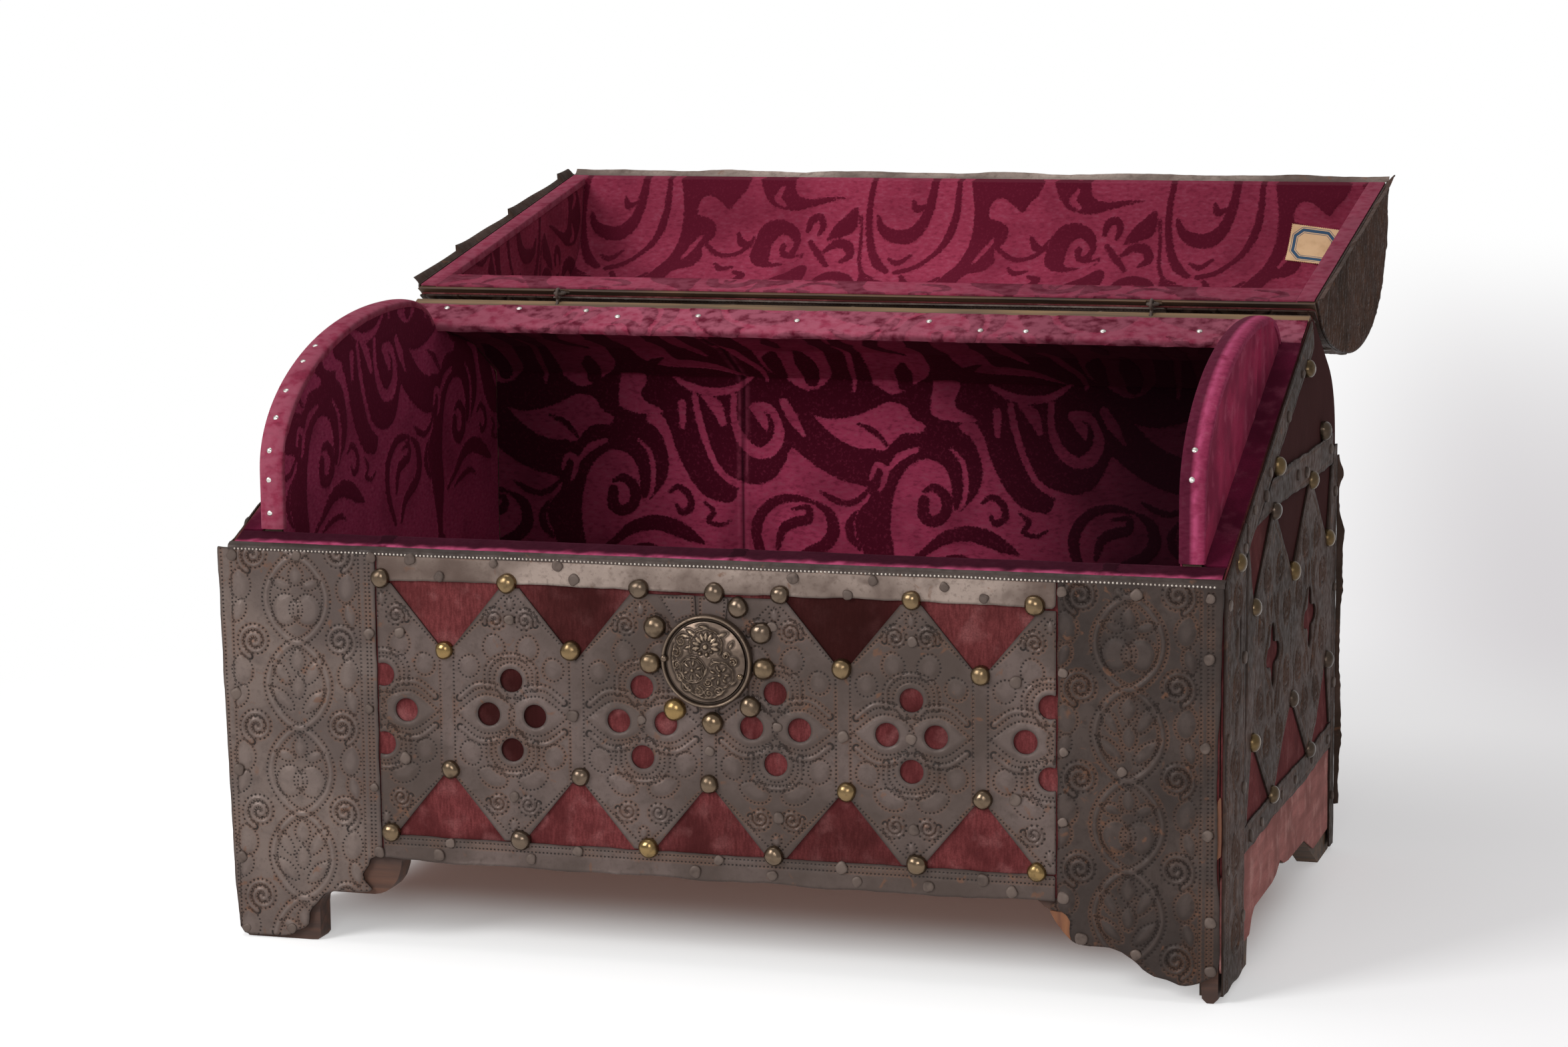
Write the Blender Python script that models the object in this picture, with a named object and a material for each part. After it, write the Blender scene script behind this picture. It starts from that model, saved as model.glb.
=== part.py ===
"""Small wooden coffer with a barrel top, clad in velvet and sheet iron, with its lid laid open.

Metres, +Z up, front face towards -Y. The pieces are placed from the front left bottom corner of the coffer:
x runs to the right, y to the back. The lid is drawn shut and then turned open about its hinge line.
"""

import math

import bmesh
import bpy
import numpy as np

# Overall size, measured over the iron
WIDTH = 0.480
DEPTH = 0.316
FRONT_HEIGHT = 0.191
HINGE_DEPTH = 0.236
HINGE_HEIGHT = 0.288
OPEN_ANGLE = math.radians(192.0)

# Boards
FRONT_BOARD = 0.012
BACK_BOARD = 0.016
END_BOARD = 0.0108
TONGUE_BOARD = 0.0085
BOTTOM_BOARD = 0.010
SLOPE_BOARD = 0.008
LID_BOARD = 0.006
LID_END_BOARD = 0.008
BOTTOM_HEIGHT = 0.045
SPRING_JOINT = 0.0012
SLOPE_ANGLE = math.radians(30.0)
SLOPE_BEND = 0.028
RAIL_WIDTH = 0.027
RAIL_LEG = 0.030

# Skins, and the clearances between pieces
IRON = 0.0008
VELVET = 0.0010
LINING = 0.0010
GAP = 0.0003
SEAM_GAP = 0.0008
LAP = 0.0001
LID_CLEARANCE = 0.0016

# Vault of the tongues and the lid
CROWN_SETBACK = 0.076
CROWN_RISE = 0.0027
ARCH_UPRIGHT = 0.034
TONGUE_END = 0.0305
REAR_ROUNDNESS = 3.0
LID_REAR_ANGLE = math.radians(16.0)
LID_REAR_BEND = 0.020
BATTEN_EDGE = 0.004

# Bracket feet
FOOT_TOE = 0.037
FOOT_STEP = 0.049
FOOT_STEP_HEIGHT = 0.0245
FOOT_REACH = 0.085
FOOT_COVE = 0.014
SKIRT_HEIGHT = 0.043
END_TOE = 0.073
REAR_TOE = 0.036
END_STEP = 0.087
END_STEP_HEIGHT = 0.024
END_PEAK_HEIGHT = 0.030
END_PEAK_REACH = 0.023
IRON_LIFT = 0.002
VELVET_LIFT = 0.012

# Iron strips, bands and lozenges
CORNER_STRIP = 0.076
FRONT_TOP_BAND = 0.014
FRONT_BOTTOM_BAND = 0.012
END_FRONT_STRIP = 0.052
BACK_STRIP = 0.0145
BACK_STRIP_RETURN = 0.022
EDGE_STRIP = 0.016
UPPER_BAND_DROP = 0.009
LOWER_BAND_HEIGHT = 0.056
UPPER_BAND = 0.017
LOWER_BAND = 0.014
LOZENGE_PITCH = 0.0645
LOZENGE_POINT = 0.033
LOZENGE_MARGIN = 0.004
HOLE_RADIUS = 0.0055
HOLE_SIDE = 0.0115
HOLE_RISE = 0.0165
END_LOZENGE_PITCH = 0.107
END_LOZENGE_POINT = 0.037
CROSS_RISE = 0.021
CROSS_SIDE = 0.010
LID_EDGE_BAND = 0.014
HINGE_CLEAR = 0.006

# Boss on the front
BOSS_HEIGHT = 0.1458
BOSS_RADIUS = 0.022
BOSS_DISH = 0.0015
BOSS_RIM = 0.0038
MEDALLION_RADIUS = 0.0145
MEDALLION_RISE = 0.0044

# Snipe hinges: pairs of linked wire eyes
HINGE_INSET = 0.082
AXIS_PROUD = 0.00305
EYE_RADIUS = 0.0026
EYE_WIRE = 0.0008
EYE_PIN = 0.018
EYE_CLEAR = 0.0007
BODY_PIN_ANGLE = math.radians(250.0)
LID_PIN_TILT = math.radians(7.3)

SKIN = IRON + GAP + VELVET + GAP
LINING_DEPTH = LINING + GAP
SEAM_ANGLE = math.atan2(HINGE_HEIGHT - FRONT_HEIGHT, HINGE_DEPTH)
SEAM_FACE = SEAM_GAP / 2
LINED_FACE = SEAM_FACE + LINING_DEPTH
FRONT_INNER = SKIN + FRONT_BOARD
BACK_OUTER = DEPTH - SKIN
BACK_INNER = BACK_OUTER - BACK_BOARD
TONGUE_OUTER = SKIN + END_BOARD + GAP
TONGUE_INNER = TONGUE_OUTER + TONGUE_BOARD
LINED_INNER = TONGUE_INNER + LINING_DEPTH
FLOOR_HEIGHT = BOTTOM_HEIGHT + BOTTOM_BOARD
CROWN_DEPTH = HINGE_DEPTH - CROWN_SETBACK
CROWN_HEIGHT = HINGE_HEIGHT + CROWN_RISE
ARCH_SPRING = FRONT_HEIGHT + ARCH_UPRIGHT
SLOPE_DROP = (BACK_OUTER - HINGE_DEPTH) * math.tan(SLOPE_ANGLE)
BACK_SPRING = HINGE_HEIGHT - SLOPE_DROP - SLOPE_BEND - SPRING_JOINT
UPPER_BAND_HEIGHT = BACK_SPRING - UPPER_BAND_DROP
HINGE_SPREAD = WIDTH / 2 - HINGE_INSET
LID_PIN_ANGLE = math.pi + SEAM_ANGLE - LID_PIN_TILT
PROUD_ANGLE = (math.pi / 2 - LID_REAR_ANGLE + math.pi / 2 - SLOPE_ANGLE) / 2
AXIS_DEPTH = HINGE_DEPTH + AXIS_PROUD * math.cos(PROUD_ANGLE)
AXIS_HEIGHT = HINGE_HEIGHT + AXIS_PROUD * math.sin(PROUD_ANGLE)

# Facets of the curves
ARCH_STEPS = 14
REAR_STEPS = 14
REAR_TURN = math.radians(20.0)
BEND_STEPS = 7
HOLE_SIDES = 10
BOSS_SIDES = 28
EYE_TURNS = 18
WIRE_SIDES = 8
POCKET_SIDES = 20
SMOOTH_ANGLE = math.radians(40.0)
QUARTER = np.linspace(0.0, math.pi / 2, 6)
BEND = np.linspace(0.0, 1.0, BEND_STEPS)[:, None]

FINISHES = {
    "wood": ("#8a5f3c", 0.75, 0.0),
    "iron": ("#54493f", 0.48, 0.9),
    "bronze": ("#6e6252", 0.4, 0.9),
    "velvet": ("#5a262b", 0.95, 0.0),
    "lining": ("#7d1f45", 0.95, 0.0),
}


def linear(code):
    """Linear RGB of an sRGB hex colour."""
    parts = [int(code[i : i + 2], 16) / 255 for i in (1, 3, 5)]
    return [c / 12.92 if c <= 0.04045 else ((c + 0.055) / 1.055) ** 2.4 for c in parts]


def material(name, finish):
    colour, roughness, metallic = FINISHES[finish]
    made = bpy.data.materials.new(name)
    made.use_nodes = True
    shader = made.node_tree.nodes["Principled BSDF"]
    shader.inputs["Base Color"].default_value = (*linear(colour), 1.0)
    shader.inputs["Roughness"].default_value = roughness
    shader.inputs["Metallic"].default_value = metallic
    return made


def empty(name, location, parent=None):
    made = bpy.data.objects.new(name, None)
    made.location = location
    made.parent = parent
    bpy.context.collection.objects.link(made)
    return made


def place(name, mesh, finish, frame, location):
    """One sub-part: its mesh with its own material, placed in the frame of the coffer or of the lid."""
    mesh.name = name
    mesh.materials.clear()
    mesh.materials.append(material(name, finish))
    made = bpy.data.objects.new(name, mesh)
    made.parent = frame
    made.location = location
    bpy.context.collection.objects.link(made)
    return made


def helper(mesh, frame, location):
    """A cutter, which isn't a sub-part."""
    made = bpy.data.objects.new("cutter", mesh)
    made.parent = frame
    made.location = location
    made.hide_render = True
    made.display_type = "WIRE"
    bpy.context.collection.objects.link(made)
    return made


def combine(target, other, operation):
    modifier = target.modifiers.new(operation.lower(), "BOOLEAN")
    modifier.operation = operation
    modifier.solver = "EXACT"
    modifier.object = other


def to_mesh(bm):
    bmesh.ops.recalc_face_normals(bm, faces=bm.faces)
    mesh = bpy.data.meshes.new("mesh")
    bm.to_mesh(mesh)
    bm.free()
    return mesh


def add_prism(bm, outline, length, plane):
    """Outline in the plane yz, xz or xy, carried by length along the third axis, from 0."""
    order = {"yz": (None, 0, 1), "xz": (0, None, 1), "xy": (0, 1, None)}[plane]
    low = [[0.0 if k is None else float(p[k]) for k in order] for p in outline]
    face = bm.faces.new([bm.verts.new(p) for p in low])
    grown = bmesh.ops.extrude_face_region(bm, geom=[face])["geom"]
    shift = [length if k is None else 0.0 for k in order]
    bmesh.ops.translate(bm, vec=shift, verts=[v for v in grown if isinstance(v, bmesh.types.BMVert)])


def prism(outline, length, plane):
    bm = bmesh.new()
    add_prism(bm, outline, length, plane)
    return to_mesh(bm)


def lathe(profile):
    """Profile of (radius, height) pairs, from the axis back to the axis, turned about the -Y direction."""
    bm = bmesh.new()
    points = [bm.verts.new((r, -h, 0.0)) for r, h in profile]
    edges = [bm.edges.new(pair) for pair in zip(points, points[1:])]
    bmesh.ops.spin(
        bm,
        geom=points + edges,
        cent=(0, 0, 0),
        axis=(0, 1, 0),
        angle=math.tau,
        steps=BOSS_SIDES,
        use_merge=True,
    )
    bmesh.ops.remove_doubles(bm, verts=bm.verts, dist=1e-6)
    return to_mesh(bm)


def smooth(mesh):
    mesh.shade_smooth()
    mesh.set_sharp_from_angle(angle=SMOOTH_ANGLE)


def seam(forward, above=0.0):
    """Point (y, z) at a distance forward of the hinge edge along the seam, and a height above the seam."""
    c, s = math.cos(SEAM_ANGLE), math.sin(SEAM_ANGLE)
    return (HINGE_DEPTH - forward * c - above * s, HINGE_HEIGHT - forward * s + above * c)


def seam_height(y, above=0.0):
    """Height of the line parallel to the seam at depth y."""
    return FRONT_HEIGHT + y * math.tan(SEAM_ANGLE) + above / math.cos(SEAM_ANGLE)


def above_seam(points):
    p = np.asarray(points)
    c, s = math.cos(SEAM_ANGLE), math.sin(SEAM_ANGLE)
    return (p[:, 1] - HINGE_HEIGHT) * c - (p[:, 0] - HINGE_DEPTH) * s


def offset(points, distance):
    """Polyline moved to its left by the distance, with mitred corners."""
    p = np.asarray(points, float)
    d = np.diff(p, axis=0)
    d /= np.linalg.norm(d, axis=1)[:, None]
    n = np.stack([-d[:, 1], d[:, 0]], 1)
    before = np.vstack([n[:1], n])
    after = np.vstack([n, n[-1:]])
    mitre = (before + after) / (1.0 + (before * after).sum(1))[:, None]
    return p + distance * mitre


def band(points, low, high):
    """Closed outline of a strip between two offsets of a polyline."""
    return np.vstack([offset(points, low), offset(points, high)[::-1]])


def clip_to_seam(points, above):
    """The stretch of a polyline over the line at this height above the seam, ended on that line."""
    p = np.asarray(points, float)
    h = above_seam(p) - above
    inside = np.flatnonzero(h > 1e-7)
    a, b = inside[0], inside[-1]
    first = p[a] + (p[a - 1] - p[a]) * h[a] / (h[a] - h[a - 1])
    last = p[b] + (p[b + 1] - p[b]) * h[b] / (h[b] - h[b + 1])
    return np.vstack([first, p[a : b + 1], last])


def tongue_arch():
    """Top of a tongue: upright at the front, a quarter ellipse to the crown, a squarer curve to the rail."""
    front = FRONT_INNER + GAP
    rise = CROWN_HEIGHT - ARCH_SPRING
    end_y, end_z = seam(TONGUE_END)
    share = 1 - ((end_z - ARCH_SPRING) / rise) ** REAR_ROUNDNESS
    reach = (end_y - CROWN_DEPTH) / share ** (1 / REAR_ROUNDNESS)
    a = np.linspace(0.0, math.pi / 2, ARCH_STEPS)
    ellipse = np.stack([CROWN_DEPTH - (CROWN_DEPTH - front) * np.cos(a), ARCH_SPRING + rise * np.sin(a)], 1)
    power = 2 / REAR_ROUNDNESS
    b = np.linspace(math.pi / 2, REAR_TURN, REAR_STEPS + 1)[1:]
    rear = np.stack([CROWN_DEPTH + reach * np.cos(b) ** power, ARCH_SPRING + rise * np.sin(b) ** power], 1)
    return np.vstack([[(front, FRONT_HEIGHT - FRONT_BOARD)], ellipse, rear])


def lid_outside():
    """Outer face of the lid's boards, shut, from the front rim over the crown to the hinge edge."""
    front = offset(tongue_arch(), lining_offset() + LINING_DEPTH + LID_BOARD)[: ARCH_STEPS + 1]
    crown = front[-1, 1]
    corner = np.array([HINGE_DEPTH - (crown - HINGE_HEIGHT) / math.tan(LID_REAR_ANGLE), crown])
    slope = np.array([math.cos(LID_REAR_ANGLE), -math.sin(LID_REAR_ANGLE)])
    start = corner - (LID_REAR_BEND, 0.0)
    end = corner + LID_REAR_BEND * slope
    bend = (1 - BEND) ** 2 * start + 2 * BEND * (1 - BEND) * corner + BEND**2 * end
    hinge = np.array([HINGE_DEPTH, HINGE_HEIGHT])
    return np.vstack([front, bend, hinge, hinge + slope * LID_REAR_BEND])


def slope_outside():
    """Outer face of the fixed back, from the foot of the slope up to the hinge edge."""
    corner = np.array([BACK_OUTER, HINGE_HEIGHT - SLOPE_DROP])
    along = np.array([-math.cos(SLOPE_ANGLE), math.sin(SLOPE_ANGLE)])
    start = corner - (0.0, SLOPE_BEND)
    end = corner + SLOPE_BEND * along
    bend = (1 - BEND) ** 2 * start + 2 * BEND * (1 - BEND) * corner + BEND**2 * end
    return np.vstack([bend, [(HINGE_DEPTH, HINGE_HEIGHT)]])


def inner_back():
    """Inside of the hinge rail, the slope and the back board, from the rail's front edge down."""
    rail_front = np.array(seam(RAIL_WIDTH, -LINED_FACE))
    return np.vstack([rail_front, rail_foot(), slope_foot(), (BACK_INNER, FLOOR_HEIGHT + GAP)])


def slope_inside(distance):
    """Point on the slope board's inner face, at a distance down from the hinge edge."""
    down = np.array([math.cos(SLOPE_ANGLE), -math.sin(SLOPE_ANGLE)])
    return np.array([HINGE_DEPTH, HINGE_HEIGHT]) + distance * down + SLOPE_BOARD * slope_inward()


def slope_inward():
    """Direction square to the slope board, into the coffer."""
    return np.array([-math.sin(SLOPE_ANGLE), -math.cos(SLOPE_ANGLE)])


def rail_foot():
    """Lower corner of the hinge rail, under the slope board."""
    return slope_inside(SLOPE_BOARD + RAIL_LEG) + GAP * slope_inward()


def slope_foot():
    """Where the slope board's inner face meets the plane of the back board's inner face."""
    first = slope_inside(0.0)
    return np.array([BACK_INNER, first[1] - (BACK_INNER - first[0]) * math.tan(SLOPE_ANGLE)])


def front_bracket():
    """Lower edge of the left half of the front, from the corner to the skirt: toe, step and cove."""
    heel = FOOT_STEP - (FOOT_STEP - FOOT_TOE) * np.cos(QUARTER)
    toe = np.stack([heel, FOOT_STEP_HEIGHT * np.sin(QUARTER)], 1)
    rise = SKIRT_HEIGHT - FOOT_STEP_HEIGHT
    cove = np.stack(
        [
            FOOT_REACH - FOOT_COVE + FOOT_COVE * np.sin(QUARTER),
            FOOT_STEP_HEIGHT + rise * (1 - np.cos(QUARTER)),
        ],
        1,
    )
    return np.vstack([toe, cove])


def end_bracket(rear):
    """Lower edge of half an end, from its corner: toe, long step, and half of the peak in the middle."""
    heel = END_STEP - (END_STEP - END_TOE) * np.cos(QUARTER)
    toe = np.stack([heel, END_STEP_HEIGHT * np.sin(QUARTER)], 1)
    if rear:
        # The rear foot is worn to a slant.
        toe = np.array([(REAR_TOE, 0.0), (END_STEP, END_STEP_HEIGHT)])
    a = BEND[:, 0]
    peak = np.stack(
        [
            DEPTH / 2 - END_PEAK_REACH * (1 - a),
            END_STEP_HEIGHT + (END_PEAK_HEIGHT - END_STEP_HEIGHT) * a**2,
        ],
        1,
    )
    return np.vstack([toe, peak])


def from_height(points, low):
    """The stretch of a rising lower edge from this height on."""
    p = np.asarray(points)
    k = int(np.flatnonzero(p[:, 1] > low)[0])
    share = (low - p[k - 1, 1]) / (p[k, 1] - p[k - 1, 1])
    return np.vstack([p[k - 1] + share * (p[k] - p[k - 1]), p[k:]])


def front_outline(side, low, top):
    """Front or back board, or its velvet: side and low are the distances from the corner and the floor."""
    half = front_bracket() if low == 0 else from_height(front_bracket(), low)
    mirrored = np.stack([WIDTH - half[::-1, 0], half[::-1, 1]], 1)
    return np.vstack([[(side, low)], half, mirrored, [(WIDTH - side, low), (WIDTH - side, top), (side, top)]])


def end_lower_edge(first, last, low):
    """Lower edge of an end between two depths, with its toes cut at a height."""
    front, rear = end_bracket(False), end_bracket(True)
    if low > 0:
        front, rear = from_height(front, low), from_height(rear, low)
    mirrored = np.stack([DEPTH - rear[::-1, 0], rear[::-1, 1]], 1)[1:]
    return np.vstack([[(first, low)], front, mirrored, [(last, low)]])


def end_layer(side, layer):
    """Start in x of a layer, given as its distance inside the left or the right face and its thickness."""
    start, thickness = layer
    return start if side == "left" else WIDTH - start - thickness


def pair(name, outline, layer, finish, frame, drop=(0.0, 0.0)):
    """The same yz outline on both ends of the coffer, as one sub-part each."""
    for side in ("left", "right"):
        at = (end_layer(side, layer), -drop[0], -drop[1])
        yield side, place(f"{name}_{side}", prism(outline, layer[1], "yz"), finish, frame, at)


def both(name, outline, layer, finish, frame, drop=(0.0, 0.0)):
    return dict(pair(name, outline, layer, finish, frame, drop))


def add_boards(coffer):
    """Carcass: front and back run the full width, and the ends and tongues stand between them."""
    front = front_outline(SKIN, 0.0, FRONT_HEIGHT)
    board = place("front_board", prism(front, FRONT_BOARD, "xz"), "wood", coffer, (0, SKIN, 0))
    cut_above_seam(board, coffer, LINED_FACE)
    back = front_outline(SKIN, 0.0, BACK_SPRING)
    place("back_board", prism(back, BACK_BOARD, "xz"), "wood", coffer, (0, BACK_INNER, 0))

    inner = offset(inner_back(), -GAP)[::-1]
    first, last = FRONT_INNER + GAP, BACK_INNER - GAP
    lower = end_lower_edge(first, last, 0.0)
    end = np.vstack([lower, inner[1:], ledge()[::-1]])
    both("end_board", end, (SKIN, END_BOARD), "wood", coffer)

    arch = clip_to_seam(tongue_arch(), 0.0)[::-1]
    floor = FLOOR_HEIGHT + GAP
    tongue = np.vstack([[(first, floor), (last, floor)], inner[1:], arch])
    both("tongue", tongue, (TONGUE_OUTER, TONGUE_BOARD), "wood", coffer)

    width = WIDTH - 2 * TONGUE_OUTER
    bottom = [(first, BOTTOM_HEIGHT), (last, BOTTOM_HEIGHT), (last, FLOOR_HEIGHT), (first, FLOOR_HEIGHT)]
    place("bottom_board", prism(bottom, width, "yz"), "wood", coffer, (TONGUE_OUTER, 0, 0))


def ledge():
    """Top of an end board beside its tongue, from the front to the rail."""
    front = FRONT_INNER + GAP
    return np.array([(front, seam_height(front, -LINED_FACE)), seam(RAIL_WIDTH + 2 * GAP, -LINED_FACE)])


def cut_above_seam(target, frame, below):
    """Bevels a board's top to the line parallel to the seam."""
    reach = DEPTH
    low = [(-reach, seam_height(-reach, -below)), (reach, seam_height(reach, -below))]
    outline = low + [(reach, low[1][1] + reach), (-reach, low[1][1] + reach)]
    combine(target, helper(prism(outline, 2 * WIDTH, "yz"), frame, (-WIDTH / 2, 0, 0)), "DIFFERENCE")


def add_slope(coffer):
    """Fixed part of the barrel top behind the lid: a sloping board, and the rail for the hinge eyes."""
    width = WIDTH - 2 * SKIN
    outer = slope_outside()
    # Along the seam the board's edge is as wide as its thickness measured on the slant.
    slant = SLOPE_BOARD / math.sin(SLOPE_ANGLE + SEAM_ANGLE)
    bottom = BACK_SPRING + GAP
    profile = np.vstack(
        [
            [(BACK_INNER, bottom), (BACK_OUTER, bottom)],
            outer[:-1],
            [slope_edge(LINED_FACE), slope_edge(LINED_FACE, slant), slope_foot()],
        ]
    )
    board = place("rear_slope_board", prism(profile, width, "yz"), "wood", coffer, (SKIN, 0, 0))

    gap_along = GAP / math.sin(SLOPE_ANGLE + SEAM_ANGLE)
    triangle = [slope_edge(LINED_FACE, slant + gap_along), seam(RAIL_WIDTH, -LINED_FACE), rail_foot()]
    rail = place("hinge_rail", prism(triangle, width, "yz"), "wood", coffer, (SKIN, 0, 0))
    return board, rail


def slope_edge(below, forward=0.0):
    """Point on the line parallel to the seam, at a distance forward of the slope board's outer face."""
    drop = below / math.sin(SLOPE_ANGLE + SEAM_ANGLE)
    y = HINGE_DEPTH + drop * math.cos(SLOPE_ANGLE) - forward * math.cos(SEAM_ANGLE)
    return (y, HINGE_HEIGHT - drop * math.sin(SLOPE_ANGLE) - forward * math.sin(SEAM_ANGLE))


def along_slope(distance):
    """Outer face of the fixed back from its foot to a distance short of the hinge edge."""
    outer = slope_outside()
    outer[-1] += distance * np.array([math.cos(SLOPE_ANGLE), -math.sin(SLOPE_ANGLE)])
    return outer


def end_outline(low, edge):
    """Whole side of the coffer under the seam, edge being the distance inside the front and back iron."""
    slope = along_slope(HINGE_CLEAR)
    top = [seam(HINGE_CLEAR, -SEAM_FACE), (edge, seam_height(edge, -SEAM_FACE))]
    return np.vstack([end_lower_edge(edge, DEPTH - edge, low), slope, top])


def add_velvet(coffer):
    """Velvet under the iron, outside."""
    layer = (IRON + GAP, VELVET)
    front = front_outline(SKIN, VELVET_LIFT, seam_height(SKIN, -2 * SEAM_FACE))
    place("front_velvet", prism(front, VELVET, "xz"), "velvet", coffer, (0, layer[0], 0))
    both("end_velvet", end_outline(VELVET_LIFT, SKIN), layer, "velvet", coffer)
    line = np.vstack([[(BACK_OUTER, SKIRT_HEIGHT)], along_slope(HINGE_CLEAR)])
    back = band(line, -GAP, -GAP - VELVET)
    place("back_velvet", prism(back, WIDTH - 2 * SKIN, "yz"), "velvet", coffer, (SKIN, 0, 0))


def add_lining(coffer):
    """Lining of the inside, which also wraps the tongues, the rail and the top of the front."""
    width = WIDTH - 2 * (LINED_INNER + GAP)
    left = LINED_INNER + GAP
    floor = FLOOR_HEIGHT + GAP

    fold = [(y, seam_height(y, -LINED_FACE)) for y in (SKIN + GAP, FRONT_INNER)]
    line = np.vstack([fold, [(FRONT_INNER, floor)]])
    front = band(line, GAP, LINING_DEPTH)
    lining = place("lining_front", prism(front, width, "yz"), "lining", coffer, (left, 0, 0))
    # Over the front board it runs on to both ends, a little thinner, so that the two solids share no face.
    rear = FRONT_INNER - LINING_DEPTH
    over = [(y, seam_height(y, -LINED_FACE)) for y in (SKIN + GAP + LAP, rear)]
    ends = prism(band(over, GAP + LAP, LINING_DEPTH - LAP), WIDTH - 2 * SKIN, "yz")
    combine(lining, helper(ends, coffer, (SKIN, 0, 0)), "UNION")

    # The walk from the hinge to the floor keeps the inside of the coffer on its right.
    back = band(np.vstack([seam(HINGE_CLEAR, -LINED_FACE), inner_back()]), -GAP, -LINING_DEPTH)
    lining = place("lining_back", prism(back, width, "yz"), "lining", coffer, (left, 0, 0))
    rail = [seam(HINGE_CLEAR + LAP, -LINED_FACE), seam(RAIL_WIDTH - LAP, -LINED_FACE)]
    ends = prism(band(rail, -GAP - LAP, -LINING_DEPTH + LAP), WIDTH - 2 * SKIN, "yz")
    combine(lining, helper(ends, coffer, (SKIN, 0, 0)), "UNION")

    first, last = FRONT_INNER + LINING_DEPTH + GAP, BACK_INNER - LINING_DEPTH - GAP
    sheet = [(first, floor), (last, floor), (last, floor + LINING), (first, floor + LINING)]
    place("lining_floor", prism(sheet, width, "yz"), "lining", coffer, (left, 0, 0))


def add_tongue_lining(coffer):
    """Lining on both faces of each tongue, over its arched edge and on the ledge beside it."""
    half = LINING / 2
    over = clip_to_seam(offset(tongue_arch(), LINING_DEPTH), SEAM_FACE)
    under = clip_to_seam(offset(tongue_arch(), GAP), SEAM_FACE)
    edge = np.vstack([over, under[::-1]])
    # The faces end half way into the strip over the edge, and the strip half way into the faces.
    outer_face = clip_to_seam(offset(tongue_arch(), GAP + half), -SEAM_FACE - half)
    arch = clip_to_seam(offset(tongue_arch(), GAP + half), 2 * SEAM_FACE)
    inner = offset(inner_back(), -GAP)[::-1]
    floor = FLOOR_HEIGHT + 2 * GAP
    first, last = FRONT_INNER + GAP, BACK_INNER - GAP
    face = np.vstack([[(first, floor), (last, floor)], inner[1:], arch[::-1], [(first, arch[0][1])]])
    outer_layer = (TONGUE_OUTER - LINING_DEPTH, LINING)
    span = (outer_layer[0] + half, TONGUE_BOARD + 2 * GAP + LINING)
    shelf = (SKIN, END_BOARD - half)
    for side, sheet in both("lining", face, (TONGUE_INNER + GAP, LINING), "lining", coffer).items():
        wrap = helper(prism(edge, span[1], "yz"), coffer, (end_layer(side, span), 0, 0))
        outer = helper(prism(outer_face, LINING, "yz"), coffer, (end_layer(side, outer_layer), 0, 0))
        combine(sheet, wrap, "UNION")
        combine(sheet, outer, "UNION")
        cover = prism(band(ledge(), GAP, LINING_DEPTH), shelf[1], "yz")
        combine(sheet, helper(cover, coffer, (end_layer(side, shelf), 0, 0)), "UNION")


def lozenges(first, last, low, high, pitch, point, columns):
    """Cut-outs that leave a row of long hexagons: the triangles between their points, above and below."""
    middle = (first + last) / 2
    half = pitch / 2 - LOZENGE_MARGIN
    for k in range(columns):
        centre = middle + (k - (columns - 1) / 2) * pitch
        for base, tip in ((high + GAP, high - point), (low - GAP, low + point)):
            a, b = max(centre - half, first + LOZENGE_MARGIN), min(centre + half, last - LOZENGE_MARGIN)
            yield centre, base > tip, [(a, base), (b, base), (centre, tip)]


def holes(centre, middle):
    """Four round holes about the middle of a lozenge."""
    turn = np.linspace(0.0, math.tau, HOLE_SIDES, endpoint=False)
    ring = HOLE_RADIUS * np.stack([np.cos(turn), np.sin(turn)], 1)
    for across, up in ((HOLE_SIDE, 0), (-HOLE_SIDE, 0), (0, HOLE_RISE), (0, -HOLE_RISE)):
        yield ring + (centre + across, middle + up)


def cross(centre, middle):
    """Long four-pointed opening in the middle of a lozenge."""
    waist = (CROSS_SIDE / 3, CROSS_RISE / 3)
    half = np.array([(0.0, CROSS_RISE), waist, (CROSS_SIDE, 0.0), (waist[0], -waist[1])])
    return np.vstack([half, -half]) + (centre, middle)


def pierce(sheet, cuts, thickness, plane, frame, location):
    """Cuts a set of outlines right through a sheet."""
    bm = bmesh.new()
    for outline in cuts:
        add_prism(bm, outline, 3 * thickness, plane)
    combine(sheet, helper(to_mesh(bm), frame, location), "DIFFERENCE")


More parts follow.
